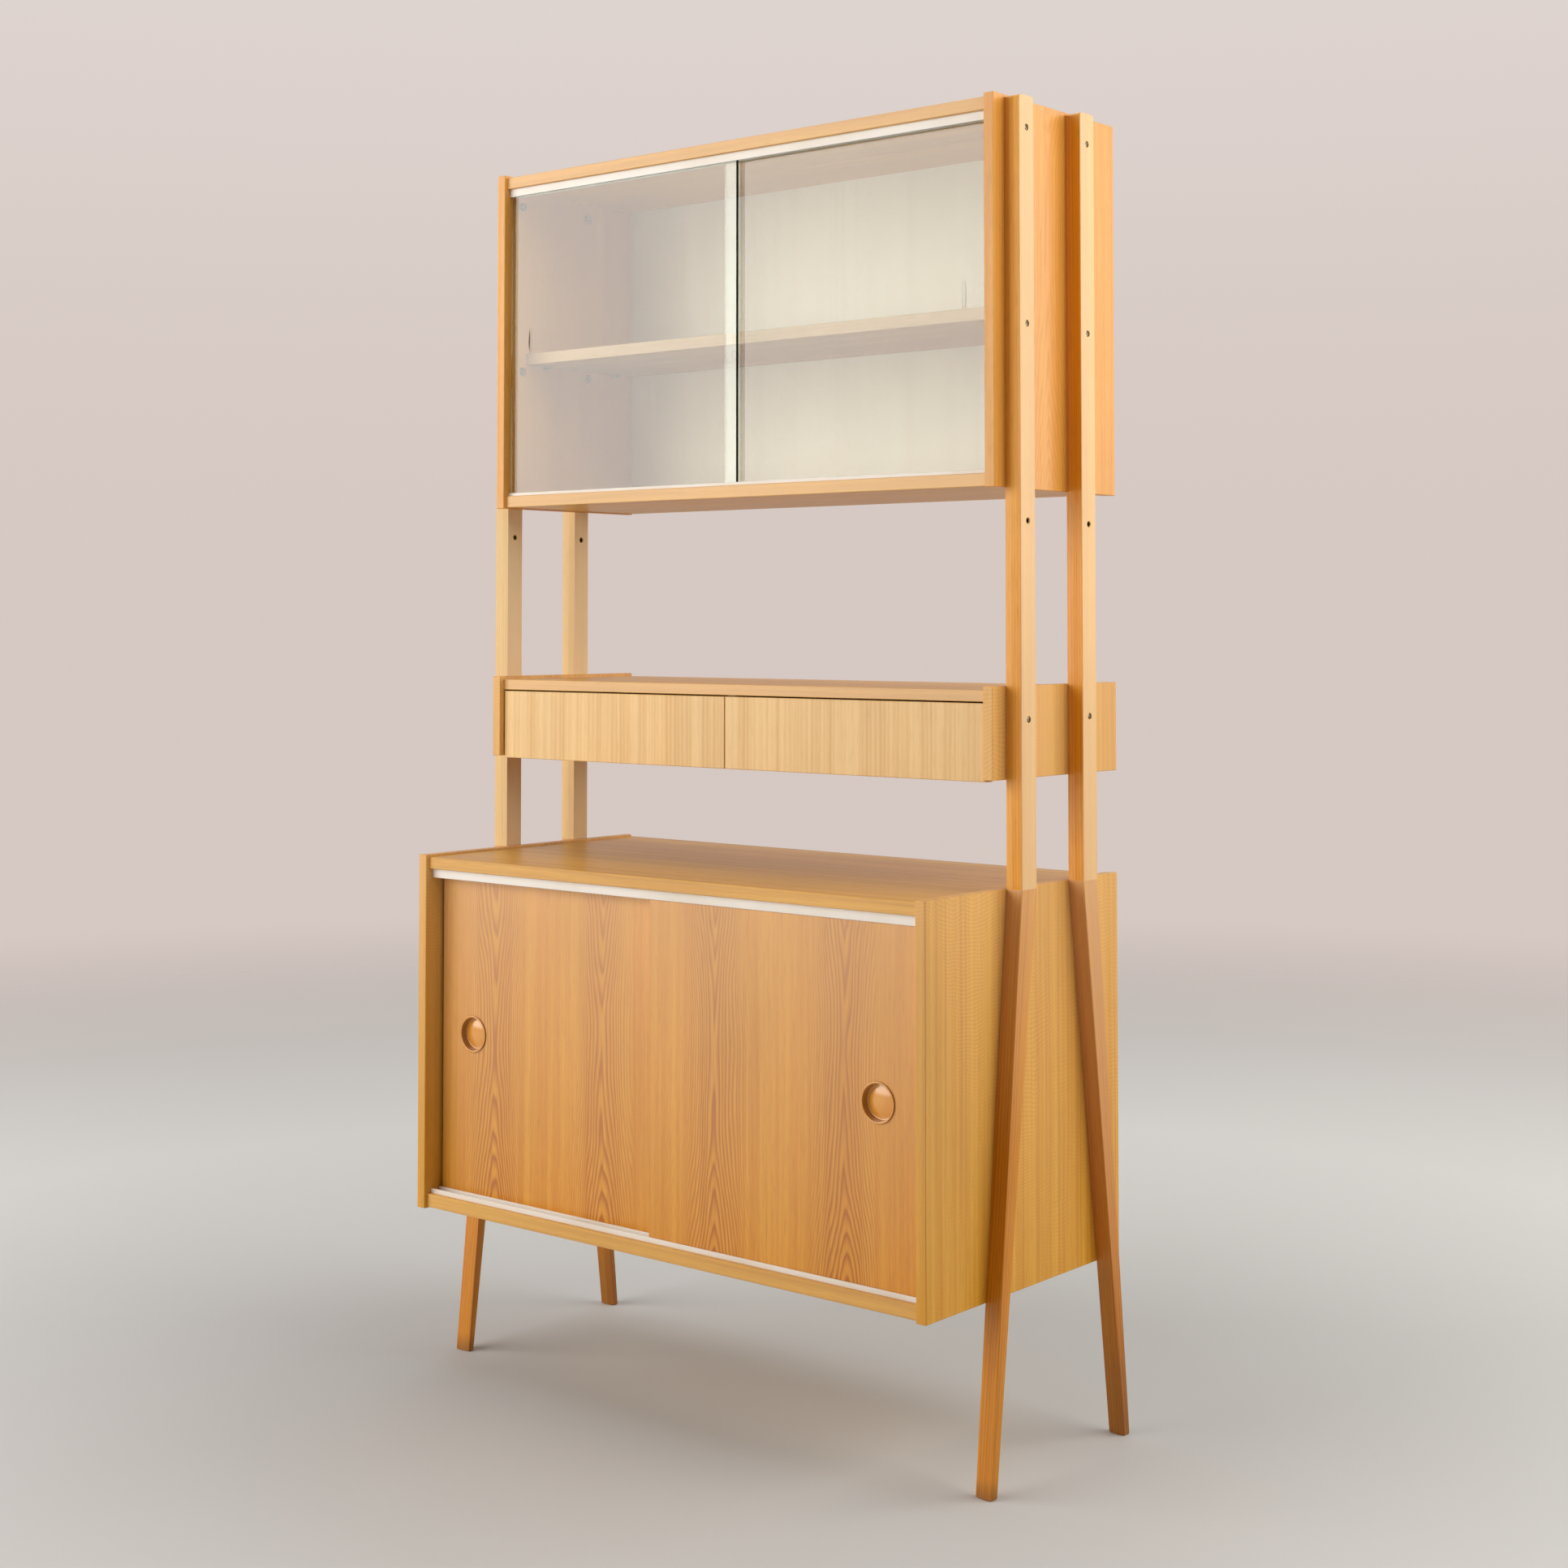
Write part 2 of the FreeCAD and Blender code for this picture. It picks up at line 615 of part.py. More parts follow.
pair("drawer_front", drawer_front())
pair("drawer_outer_side", drawer_side(box_outside - DRAWER_SIDE_THICK, box_outside,
                                      box_outside - runner_groove_depth, box_outside))
pair("drawer_inner_side", drawer_side(box_inside, box_inside + DRAWER_SIDE_THICK,
                                      box_inside, box_inside + runner_groove_depth))
pair("drawer_back", block(box_inside + DRAWER_SIDE_THICK, box_outside - DRAWER_SIDE_THICK,
                          box_rear - DRAWER_SIDE_THICK, box_rear, base_z1, box_z1))
pair("drawer_base", block(box_inside + DRAWER_SIDE_THICK - DRAWER_BASE_SEAT,
                          box_outside - DRAWER_SIDE_THICK + DRAWER_BASE_SEAT,
                          box_front - DRAWER_BASE_SEAT, box_rear, base_z0, base_z1))

# Upper cabinet

upper_top_z = UPPER_TOP - UPPER_TOP_DROP - UPPER_TOP_THICK
upper_bottom_z = UPPER_BASE + BOTTOM_RISE
upper_floor_z = upper_bottom_z + UPPER_BOTTOM_THICK
upper_shelf_front = UPPER_FRONT + UPPER_SHELF_SETBACK
upper_shelf_z = UPPER_BASE + UPPER_SHELF_RISE
upper_side = side_panel(UPPER_FRONT, UPPER_BASE, UPPER_TOP)
upper_side = upper_side.cut(nut_holes(UPPER_BOLTS_Z) + pin_holes(upper_shelf_front, upper_shelf_z))
pair("upper_side", upper_side)
nodes["upper_top"] = board(UPPER_FRONT + BOARD_SETBACK, upper_top_z, upper_top_z + UPPER_TOP_THICK)
nodes["upper_bottom"] = board(UPPER_FRONT + BOARD_SETBACK, upper_bottom_z, upper_floor_z)
nodes["upper_back"] = back_panel(upper_bottom_z, upper_top_z + UPPER_TOP_THICK)
nodes["upper_shelf"] = shelf(upper_shelf_front, upper_shelf_z)
nodes["upper_shelf_pins"] = shelf_pins(upper_shelf_front, upper_shelf_z)
nodes["upper_bolts"] = both_sides(bolt, UPPER_BOLTS_Z)
nodes["upper_nuts"] = both_sides(sleeve_nut, UPPER_BOLTS_Z)

# Glass panes: the left one runs in the front channel, the right one behind it

glass_track_front = UPPER_FRONT + GLASS_TRACK_SETBACK
glass_track = (GLASS_TRACK_WEB, GLASS_RIB, GLASS_GROOVE)
nodes["upper_track_top"] = track(glass_track_front, upper_top_z, GLASS_TRACK_TOP_HEIGHT, *glass_track, False)
nodes["upper_track_bottom"] = track(glass_track_front, upper_floor_z, GLASS_TRACK_BOTTOM_HEIGHT,
                                    *glass_track, True)
glass_z0 = upper_floor_z + GLASS_TRACK_WEB + SLIDE_PLAY
glass_z1 = upper_top_z - GLASS_TRACK_TOP_HEIGHT + GLASS_ENGAGE
grip_x = INNER - GLASS_END_GAP - GRIP_INSET
grip_z = glass_z0 + GRIP_RISE
for side, hand, rear_channel in ((1, "right", True), (-1, "left", False)):
    front = channel_front(glass_track_front, GLASS_RIB, GLASS_GROOVE, GLASS_THICK, rear_channel)
    pane = slab(side, GLASS_OVERLAP, GLASS_END_GAP, front, GLASS_THICK, glass_z0, glass_z1)
    nodes["glass_" + hand] = pane.cut(ground_grip(side * grip_x, front, grip_z))

# One file per piece

os.makedirs("parts", exist_ok=True)
for name, shape in sorted(nodes.items()):
    shape.exportStep(os.path.join("parts", name + ".step"))
    print(name, len(shape.Solids), "solids", round(shape.Volume / 1000.0, 2), "cm3", shape.isValid())
print(len(nodes), "nodes")
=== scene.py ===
import logging
import math
from collections.abc import Callable, Iterable
from dataclasses import dataclass, replace
from enum import Enum

import bpy
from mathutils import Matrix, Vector


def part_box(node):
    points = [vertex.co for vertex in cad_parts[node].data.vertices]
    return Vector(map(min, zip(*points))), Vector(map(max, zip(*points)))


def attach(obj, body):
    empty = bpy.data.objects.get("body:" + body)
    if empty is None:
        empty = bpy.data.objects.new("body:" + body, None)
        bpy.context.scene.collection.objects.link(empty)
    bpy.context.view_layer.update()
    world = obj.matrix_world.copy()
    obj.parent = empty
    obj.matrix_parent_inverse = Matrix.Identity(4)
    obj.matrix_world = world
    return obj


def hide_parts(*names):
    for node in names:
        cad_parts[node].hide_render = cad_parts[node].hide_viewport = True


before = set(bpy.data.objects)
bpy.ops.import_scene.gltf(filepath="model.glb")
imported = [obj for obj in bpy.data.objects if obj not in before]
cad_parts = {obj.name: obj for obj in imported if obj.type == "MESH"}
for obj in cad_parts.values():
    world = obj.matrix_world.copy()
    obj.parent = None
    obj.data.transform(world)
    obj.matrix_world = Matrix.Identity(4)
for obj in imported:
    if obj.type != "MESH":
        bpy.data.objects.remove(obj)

# Looks of a mid-century highboard: lacquered ash cabinets between bevelled posts on splayed legs,
# sliding veneered doors with turned pulls, two drawers and sliding glass panes in plastic tracks.

LOG = logging.getLogger("highboard")
MM = 0.001
TO_MM = (1000.0, 1000.0, 1000.0)
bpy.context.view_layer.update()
HANDS = ("left", "right")
WHOLE = (0.0, 1.0)

# How near to a plane counts as on it, and how far a chord's middle may lie inside its circle
NEAR = 0.05 * MM
CHORD = 0.2 * MM

# The CAD's bolts, nuts and sleeves are discs with this many sides
CAD_DISC_SIDES = 12

Tree = bpy.types.NodeTree
Socket = bpy.types.NodeSocket
Span = tuple[float, float]


def linear(hex_colour: str) -> tuple[float, float, float, float]:
    """Turns an sRGB hex colour into linear light.

    Args:
        hex_colour: a colour such as "#D9A361".

    Returns:
        Red, green, blue and an alpha of one.
    """
    channels = [int(hex_colour[place:place + 2], 16) / 255.0 for place in (1, 3, 5)]
    red, green, blue = [((value + 0.055) / 1.055) ** 2.4 for value in channels]
    return red, green, blue, 1.0


def add_node(tree: Tree, kind: str, inputs: dict | None = None, **settings) -> bpy.types.Node:
    """Adds one shader node with its settings and links.

    Args:
        tree: the node tree that gets it.
        kind: the node's type without its ShaderNode prefix.
        inputs: for each socket's name or number, a constant or the output that feeds it.
        settings: the node's own properties.

    Returns:
        The new node.
    """
    node = tree.nodes.new("ShaderNode" + kind)
    for name, value in settings.items():
        setattr(node, name, value)
    for key, value in (inputs or {}).items():
        if isinstance(value, Socket):
            tree.links.new(value, node.inputs[key])
        else:
            node.inputs[key].default_value = value
    return node


def maths(tree: Tree, operation: str, *values: Socket | float) -> Socket:
    """Adds a sum, a product or another formula.

    Args:
        tree: the node tree that gets it.
        operation: the Math node's operation.
        values: constants or outputs, in the order of the node's sockets.

    Returns:
        The result.
    """
    return add_node(tree, "Math", dict(enumerate(values)), operation=operation).outputs[0]


def stretch(tree: Tree, place: Socket, factors: tuple[float, float, float]) -> Socket:
    """Multiplies a place by one factor for each axis.

    Args:
        tree: the node tree that gets it.
        place: the place.
        factors: the factors along X, Y and Z.

    Returns:
        The stretched place.
    """
    return add_node(tree, "VectorMath", {0: place, 1: factors}, operation="MULTIPLY").outputs[0]


def noise(tree: Tree, place: Socket, scale: float = 1.0, detail: float = 2.0) -> Socket:
    """Adds a cloudy noise.

    Args:
        tree: the node tree that gets it.
        place: where the noise is looked up.
        scale: how many clouds go into one unit of the place.
        detail: how many finer layers are added.

    Returns:
        The noise, about a half on average.
    """
    return add_node(tree, "TexNoise", {"Vector": place, "Scale": scale, "Detail": detail}).outputs["Fac"]


def ramp(tree: Tree, value: Socket, span: Span, result: Span = WHOLE, smooth: bool = False) -> Socket:
    """Carries a value over from one span to another and holds it at the ends.

    Args:
        tree: the node tree that gets it.
        value: the value.
        span: where the value's span starts and ends.
        result: what the start and the end become.
        smooth: whether the ramp eases in and out.

    Returns:
        The new value.
    """
    inputs = dict(enumerate((value, *span, *result)))
    kind = "SMOOTHSTEP" if smooth else "LINEAR"
    return add_node(tree, "MapRange", inputs, interpolation_type=kind).outputs[0]


def blend(tree: Tree, share: Socket, start: Socket | str, end: Socket | str) -> Socket:
    """Mixes two colours.

    Args:
        tree: the node tree that gets it.
        share: how much of the end colour there is.
        start: a hex colour or an output.
        end: a hex colour or an output.

    Returns:
        The mixed colour.
    """
    first, last = [linear(tone) if isinstance(tone, str) else tone for tone in (start, end)]
    return add_node(tree, "Mix", {0: share, 6: first, 7: last}, data_type="RGBA").outputs[2]


def new_material(name: str) -> tuple[bpy.types.Material, Tree]:
    """Makes an empty node material.

    Args:
        name: the material's name.

    Returns:
        The material and its cleared node tree.
    """
    material = bpy.data.materials.new(name)
    material.use_nodes = True
    material.node_tree.nodes.clear()
    return material, material.node_tree


def cover(tree: Tree, inputs: dict) -> None:
    """Ends a material with one principled surface.

    Args:
        tree: the material's node tree.
        inputs: the surface's constants and outputs by name.
    """
    surface = add_node(tree, "BsdfPrincipled", inputs)
    add_node(tree, "OutputMaterial", {0: surface.outputs[0]})


class Axis(Enum):
    """The object's own directions."""

    WIDE = 0
    DEEP = 1
    UP = 2


class Figure(Enum):
    """How the growth rings show on a cut face."""

    FLAME = "plain-sliced veneer, one waisted flame to each leaf"
    STRAIGHT = "rift cut, straight lines"


@dataclass(frozen=True)
class GrainLayer:
    """One noise of a board, drawn out along the grain."""

    name: str
    wide_mm: float
    long_mm: float
    detail: float = 2.0


# Pores are really 0.2 to 0.4 mm wide and fibres finer still; both are drawn as coarse as shows
GRAIN_LAYERS = (
    GrainLayer("pore", wide_mm=1.2, long_mm=30.0),
    GrainLayer("streak", wide_mm=4.5, long_mm=420.0),
    GrainLayer("band", wide_mm=24.0, long_mm=1600.0),
    GrainLayer("cloud", wide_mm=140.0, long_mm=340.0),
    GrainLayer("sway", wide_mm=60.0, long_mm=260.0, detail=1.0),
)


@dataclass(frozen=True)
class Wood:
    """Wood that was planed or veneered, sanded and sprayed with satin lacquer.

    The eye gets pale early wood, darker late-wood lines along the grain, short open pores,
    broad bands of tone, a soft sheen that the pores break up and painted light: a paler tone mixed in higher
    up and on faces turned one way.
    """

    name: str
    early: str
    body: str
    late: str
    grain: Axis
    across: Axis
    figure: Figure = Figure.STRAIGHT
    # Growth rings: spacing, tilt through the board and the profile of one line
    ring_mm: float = 5.0
    ring_tilt: float = 0.7
    ring_swell: Span = (0.05, 0.62)
    ring_fall: Span = (0.74, 0.98)
    ring_crispness: float = 1.8
    uneven_rings: float = 2.4
    # Veneer leaves, each with a flame that is waisted along the grain
    leaf_mm: float = 228.0
    leaf_middle_mm: float = 0.0
    leaf_slip_mm: float = 20.0
    pith_mm: float = 5.0
    waist_mm: float = 0.0
    wave_mm: float = 1060.0
    swing_rings: float = 5.0
    drift_rings: float = 8.0
    flame_reach_mm: float = 58.0
    flame_core: float = 0.3
    flame_edge: float = 0.16
    tightening: float = 0.006
    # How the lines wander and lean
    sway_mm: float = 5.0
    lean: float = 0.0
    # How strongly lines and pores show, and how the noises are read
    line_strength: float = 0.55
    line_bands: Span = (0.38, 0.62)
    faint_line: float = 0.1
    pore_strength: float = 0.30
    pore_span: Span = (0.52, 0.72)
    early_span: Span = (0.76, 1.24)
    cloud_span: Span = (0.3, 0.7)
    cloud_value: Span = (0.94, 1.05)
    # Cross ripple of curly veneer, feet that get darker towards the floor, and painted light: a paler tone
    # by height and on faces turned one way
    ripple: float = 0.0
    ripple_mm: float = 5.5
    ripple_drift_mm: float = 130.0
    ripple_span: Span = (0.44, 0.60)
    foot_dark_start_mm: float = 1.0
    foot_dark_mm: float = 0.0
    foot_dark_value: float = 0.55
    # Painted light: a paler colour mixed in by height and on faces that look along one axis, standing in for
    # sheen
    lit_colour: str = "#EDCA9E"
    top_light: float = 0.0
    top_light_mm: Span = (260.0, 760.0)
    lit_face: Axis = Axis.UP
    lit_face_share: float = 0.0
    # Surface under the lacquer, and the lacquer
    relief: float = 0.10
    relief_mm: float = 0.25
    roughness: float = 0.40
    pore_roughness: Span = (-0.03, 0.10)
    ior: float = 1.45
    coat: float = 0.12
    coat_roughness: float = 0.22
    coat_ior: float = 1.5

    def material(self) -> bpy.types.Material:
        """Builds the wood from noises drawn out along the grain and one set of rings.

        Returns:
            The material.
        """
        material, tree = new_material(self.name)
        texture = add_node(tree, "TexCoord").outputs
        axes = add_node(tree, "SeparateXYZ", {0: stretch(tree, texture["Object"], TO_MM)}).outputs
        along = axes[self.grain.value]
        across = axes[self.across.value]
        third = axes[3 - self.grain.value - self.across.value]
        through = maths(tree, "MULTIPLY_ADD", along, -self.lean, third)
        board = add_node(tree, "CombineXYZ", {0: across, 1: through, 2: along}).outputs[0]
        noises = {}
        for layer in GRAIN_LAYERS:
            size = (1.0 / layer.wide_mm, 1.0 / layer.wide_mm, 1.0 / layer.long_mm)
            noises[layer.name] = noise(tree, stretch(tree, board, size), detail=layer.detail)

        line = self.ring_lines(tree, across, through, along, noises)
        pore = ramp(tree, noises["pore"], self.pore_span)
        share = ramp(tree, maths(tree, "ADD", noises["band"], noises["streak"]), self.early_span)
        tone = blend(tree, share, self.body, self.early)
        for mask, strength in ((line, self.line_strength), (pore, self.pore_strength)):
            tone = blend(tree, maths(tree, "MULTIPLY", mask, strength), tone, self.late)
        # Painted light: the lit colour goes in higher up and on faces turned one way; faces left out keep a
        # darker, shaded tone
        pale = self.painted_light(tree, axes[Axis.UP.value], texture["Normal"])
        tone = blend(tree, pale, tone, self.lit_colour)
        value = self.brightness(tree, along, noises["cloud"])
        colour = add_node(tree, "HueSaturation", {"Value": value, "Color": tone}).outputs[0]

        relief = maths(tree, "ADD", line, pore)
        inputs = {"Strength": self.relief, "Distance": self.relief_mm * MM, "Height": relief}
        bump = add_node(tree, "Bump", inputs, invert=True).outputs[0]
        sealed, opened = self.pore_roughness
        rough = ramp(tree, pore, WHOLE, (self.roughness + sealed, self.roughness + opened))
        cover(tree, {
            "Base Color": colour, "Roughness": rough, "Normal": bump, "IOR": self.ior,
            "Coat Weight": self.coat, "Coat Roughness": self.coat_roughness, "Coat IOR": self.coat_ior,
        })
        return material

    def ring_lines(self, tree: Tree, across: Socket, through: Socket, along: Socket,
                   noises: dict[str, Socket]) -> Socket:
        """Draws the late-wood lines.

        Args:
            tree: the material's node tree.
            across: millimetres across the grain in the face.
            through: millimetres through the board.
            along: millimetres along the grain.
            noises: slow noises that bend the lines and thin them out.

        Returns:
            A mask, one on a line and nought between lines.
        """
        bend = ramp(tree, noises["sway"], WHOLE, (-self.sway_mm, self.sway_mm))
        if self.figure is Figure.FLAME:
            even, weight = self.flame(tree, across, along, bend)
            phase = maths(tree, "MULTIPLY_ADD", noises["cloud"], self.drift_rings, even)
        else:
            side = maths(tree, "MULTIPLY_ADD", through, self.ring_tilt, across)
            phase = maths(tree, "MULTIPLY", maths(tree, "ADD", side, bend), 1.0 / self.ring_mm)
            weight = ramp(tree, noises["band"], self.line_bands, (1.0, self.faint_line))
        uneven = maths(tree, "MULTIPLY_ADD", noises["band"], self.uneven_rings, phase)
        part = maths(tree, "FRACT", uneven)
        swell = ramp(tree, part, self.ring_swell)
        fall = ramp(tree, part, self.ring_fall, (1.0, 0.0))
        ridge = maths(tree, "MULTIPLY", swell, fall)
        crisp = maths(tree, "POWER", ridge, self.ring_crispness)
        return maths(tree, "MULTIPLY", crisp, weight)

    def flame(self, tree: Tree, across: Socket, along: Socket, bend: Socket) -> tuple[Socket, Socket]:
        """Counts rings out from the middle of each veneer leaf, waisted so that V's stand above and below.

        Args:
            tree: the material's node tree.
            across: millimetres across the leaves.
            along: millimetres along the grain.
            bend: millimetres by which the lines sway.

        Returns:
            The ring count and how strongly its lines show.
        """
        half = self.leaf_mm / 2.0
        offset = maths(tree, "SUBTRACT", across, self.leaf_middle_mm)
        inside = maths(tree, "WRAP", offset, half, -half)
        leaf = maths(tree, "SUBTRACT", offset, inside)
        lifted = maths(tree, "MULTIPLY_ADD", leaf, -self.leaf_slip_mm / self.leaf_mm, along)
        height = maths(tree, "SUBTRACT", lifted, self.waist_mm)
        wave = maths(tree, "COSINE", maths(tree, "MULTIPLY", height, 2.0 * math.pi / self.wave_mm))
        side = maths(tree, "ADD", inside, bend)
        square = maths(tree, "MULTIPLY_ADD", side, side, self.pith_mm ** 2)
        radius = maths(tree, "POWER", square, 0.5)
        denser = maths(tree, "MULTIPLY_ADD", square, self.tightening, radius)
        count = maths(tree, "MULTIPLY", denser, 1.0 / self.ring_mm)
        phase = maths(tree, "MULTIPLY_ADD", wave, self.swing_rings, count)
        reach = (self.flame_core * self.flame_reach_mm, self.flame_reach_mm)
        weight = ramp(tree, radius, reach, (1.0, self.flame_edge), smooth=True)
        return phase, weight

    def painted_light(self, tree: Tree, height: Socket, normal: Socket) -> Socket:
        """Finds the share of painted light, a paler tone that stands in for sheen, by height and by the way
        a face points.

        Args:
            tree: the material's node tree.
            height: millimetres above the floor.
            normal: the way the face points.

        Returns:
            The share of the lit colour.
        """
        top = ramp(tree, height, self.top_light_mm, (0.0, self.top_light))
        ways = add_node(tree, "SeparateXYZ", {0: normal}).outputs
        facing = maths(tree, "ABSOLUTE", ways[self.lit_face.value])
        return maths(tree, "MULTIPLY_ADD", facing, self.lit_face_share, top)

    def brightness(self, tree: Tree, along: Socket, cloud: Socket) -> Socket:
        """Finds the slow changes of brightness: clouds, the cross ripple of curly veneer and feet that get
        darker towards the floor.

        Args:
            tree: the material's node tree.
            along: millimetres along the grain.
            cloud: slow noise, which also breaks the ripple up.

        Returns:
            The brightness, about one.
        """
        value = ramp(tree, cloud, self.cloud_span, self.cloud_value)
        if self.ripple:
            drift = maths(tree, "MULTIPLY_ADD", cloud, self.ripple_drift_mm, along)
            wave = maths(tree, "SINE", maths(tree, "MULTIPLY", drift, 2.0 * math.pi / self.ripple_mm))
            depth = ramp(tree, cloud, self.ripple_span, (0.0, self.ripple))
            value = maths(tree, "MULTIPLY_ADD", wave, depth, value)
        # Darker towards the foot end of the grain
        if self.foot_dark_mm:
            foot = (self.foot_dark_start_mm, self.foot_dark_mm)
            dark = ramp(tree, along, foot, (self.foot_dark_value, 1.0), smooth=True)
            value = maths(tree, "MULTIPLY", value, dark)
        return value


@dataclass(frozen=True)
class TrackPlastic:
    """Extruded PVC: an even ivory white with a soft gloss and faint draw lines along its length."""

    name: str = "Extruded ivory PVC"
    clean: str = "#EAE6DE"
    yellowed: str = "#DED5C5"
    yellow_span: Span = (0.42, 0.75)
    yellow_share: float = 0.8
    patches_per_metre: float = 9.0
    patch_detail: float = 3.0
    draw_line_mm: float = 0.9
    draw_lines_per_metre: float = 3.0
    relief: float = 0.1
    relief_mm: float = 0.1
    roughness: float = 0.34
    roughness_spread: Span = (-0.06, 0.10)
    ior: float = 1.53

    def material(self) -> bpy.types.Material:
        """Builds the plastic.

        Returns:
            The material.
        """
        material, tree = new_material(self.name)
        place = add_node(tree, "TexCoord").outputs["Object"]
        fine = 1.0 / (self.draw_line_mm * MM)
        streak = noise(tree, stretch(tree, place, (self.draw_lines_per_metre, fine, fine)))
        patch = noise(tree, place, self.patches_per_metre, self.patch_detail)
        share = ramp(tree, patch, self.yellow_span, (0.0, self.yellow_share))
        colour = blend(tree, share, self.clean, self.yellowed)
        inputs = {"Strength": self.relief, "Distance": self.relief_mm * MM, "Height": streak}
        bump = add_node(tree, "Bump", inputs).outputs[0]
        smooth, drawn = self.roughness_spread
        rough = ramp(tree, streak, WHOLE, (self.roughness + smooth, self.roughness + drawn))
        cover(tree, {"Base Color": colour, "Roughness": rough, "Normal": bump, "IOR": self.ior})
        return material


@dataclass(frozen=True)
class SheetGlass:
    """Drawn sheet glass: clear across its faces, dark green at its edges, frosted in the ground grips."""

    name: str = "Drawn sheet glass"
    face: str = "#F4FAF7"
    edge: str = "#1F4A40"
    edge_span: Span = (0.35, 0.6)
    lamp_tint: str = "#F0F6F3"
    grip_half_mm: Span = (4.2, 20.5)
    frost: float = 0.55
    frost_end: Span = (0.9, 1.05)
    grit_per_metre: float = 2400.0
    ior: float = 1.5

    def material(self, pane: str, grip_x: float, grip_z: float) -> bpy.types.Material:
        """Builds the glass of one pane.

        Args:
            pane: the pane's node.
            grip_x: the finger grip's place across, in metres.
            grip_z: the finger grip's height, in metres.

        Returns:
            The material.
        """
        material, tree = new_material(f"{self.name} {pane}")
        place = add_node(tree, "TexCoord").outputs
        ways = add_node(tree, "SeparateXYZ", {0: place["Normal"]}).outputs
        flat = maths(tree, "ABSOLUTE", ways[Axis.DEEP.value])
        rim = ramp(tree, flat, self.edge_span, (1.0, 0.0))
        colour = blend(tree, rim, self.face, self.edge)

        # The grip is an oval; its frost ends where the grinding wheel left the glass
        half_wide, half_tall = self.grip_half_mm
        inputs = {0: place["Object"], 1: (grip_x, 0.0, grip_z)}
        offset = add_node(tree, "VectorMath", inputs, operation="SUBTRACT").outputs[0]
        shares = stretch(tree, offset, (1.0 / (half_wide * MM), 0.0, 1.0 / (half_tall * MM)))
        spread = add_node(tree, "VectorMath", {0: shares}, operation="LENGTH").outputs["Value"]
        frost = ramp(tree, spread, self.frost_end, (self.frost, 0.0))
        rough = maths(tree, "MULTIPLY", frost, noise(tree, place["Object"], self.grit_per_metre))
        pane_shader = add_node(tree, "BsdfPrincipled", {
            "Base Color": colour, "Roughness": rough, "IOR": self.ior, "Transmission Weight": 1.0,
        })

        # Shadow and bounce rays pass straight through, or the panes would darken the cabinet
        lamp_shader = add_node(tree, "BsdfTransparent", {0: linear(self.lamp_tint)})
        path = add_node(tree, "LightPath").outputs
        lamp = maths(tree, "MAXIMUM", path["Is Shadow Ray"], path["Is Diffuse Ray"])
        inputs = {0: lamp, 1: pane_shader.outputs[0], 2: lamp_shader.outputs[0]}
        mixed = add_node(tree, "MixShader", inputs)
        add_node(tree, "OutputMaterial", {0: mixed.outputs[0]})
        return material


@dataclass(frozen=True)
class Metal:
    """Turned or plated metal that has dulled: bright where it is rubbed, brown or grey in patches."""

    name: str
    bright: str
    dull: str
    patch_mm: float = 3.0
    patch_detail: float = 4.0
    patch_span: Span = (0.35, 0.65)
    roughness: float = 0.30
    dulling: float = 0.25
    relief: float = 0.15
    relief_mm: float = 0.05

    def material(self) -> bpy.types.Material:
        """Builds the metal.

        Returns:
            The material.
        """
        material, tree = new_material(self.name)
        place = add_node(tree, "TexCoord").outputs["Object"]
        patch = noise(tree, place, 1.0 / (self.patch_mm * MM), self.patch_detail)
        share = ramp(tree, patch, self.patch_span)
        colour = blend(tree, share, self.bright, self.dull)
        rough = ramp(tree, share, WHOLE, (self.roughness, self.roughness + self.dulling))
        inputs = {"Strength": self.relief, "Distance": self.relief_mm * MM, "Height": share}
        bump = add_node(tree, "Bump", inputs).outputs[0]
        cover(tree, {"Base Color": colour, "Roughness": rough, "Metallic": 1.0, "Normal": bump})
        return material


Finish = Wood | TrackPlastic | Metal

# The legs' splay as a slope, which their grain follows
LEG_LEAN = 0.1117

# Finishes of this highboard; its ash has darkened to amber under the lacquer
# Painted sheen: the doors get a paler tone towards their top
DOOR_ASH = Wood("Plain-sliced ash veneer, doors", "#DC9B32", "#D0881E", "#A2500A", Axis.UP, Axis.WIDE,
                Figure.FLAME, ring_mm=7.4, leaf_middle_mm=109.0, waist_mm=560.0, sway_mm=10.0,
                line_strength=0.75, flame_reach_mm=72.0, top_light=0.35, coat=0.2)
DRAWER_ASH = Wood("Rift-cut ash veneer, drawer fronts", "#E8C384", "#DCB16C", "#BE8B47", Axis.UP, Axis.WIDE,
                  ring_mm=8.0, line_strength=0.35, sway_mm=2.0)
# Painted sheen: the lower sides get a paler tone towards their top
SIDE_ASH = Wood("Curly ash veneer, sides", "#DFA63A", "#D39328", "#B07214", Axis.UP, Axis.DEEP,
                ring_mm=11.0, line_strength=0.35, ripple=0.05, top_light=0.25, roughness=0.44, coat=0.0)
UPPER_SIDE_ASH = Wood("Plain-sliced ash veneer, upper sides", "#E0A24A", "#D59038", "#B06E20",
                      Axis.UP, Axis.DEEP, Figure.FLAME, ring_mm=9.0, leaf_mm=330.0, leaf_middle_mm=60.0,
                      waist_mm=1660.0, line_strength=0.30, flame_reach_mm=110.0)
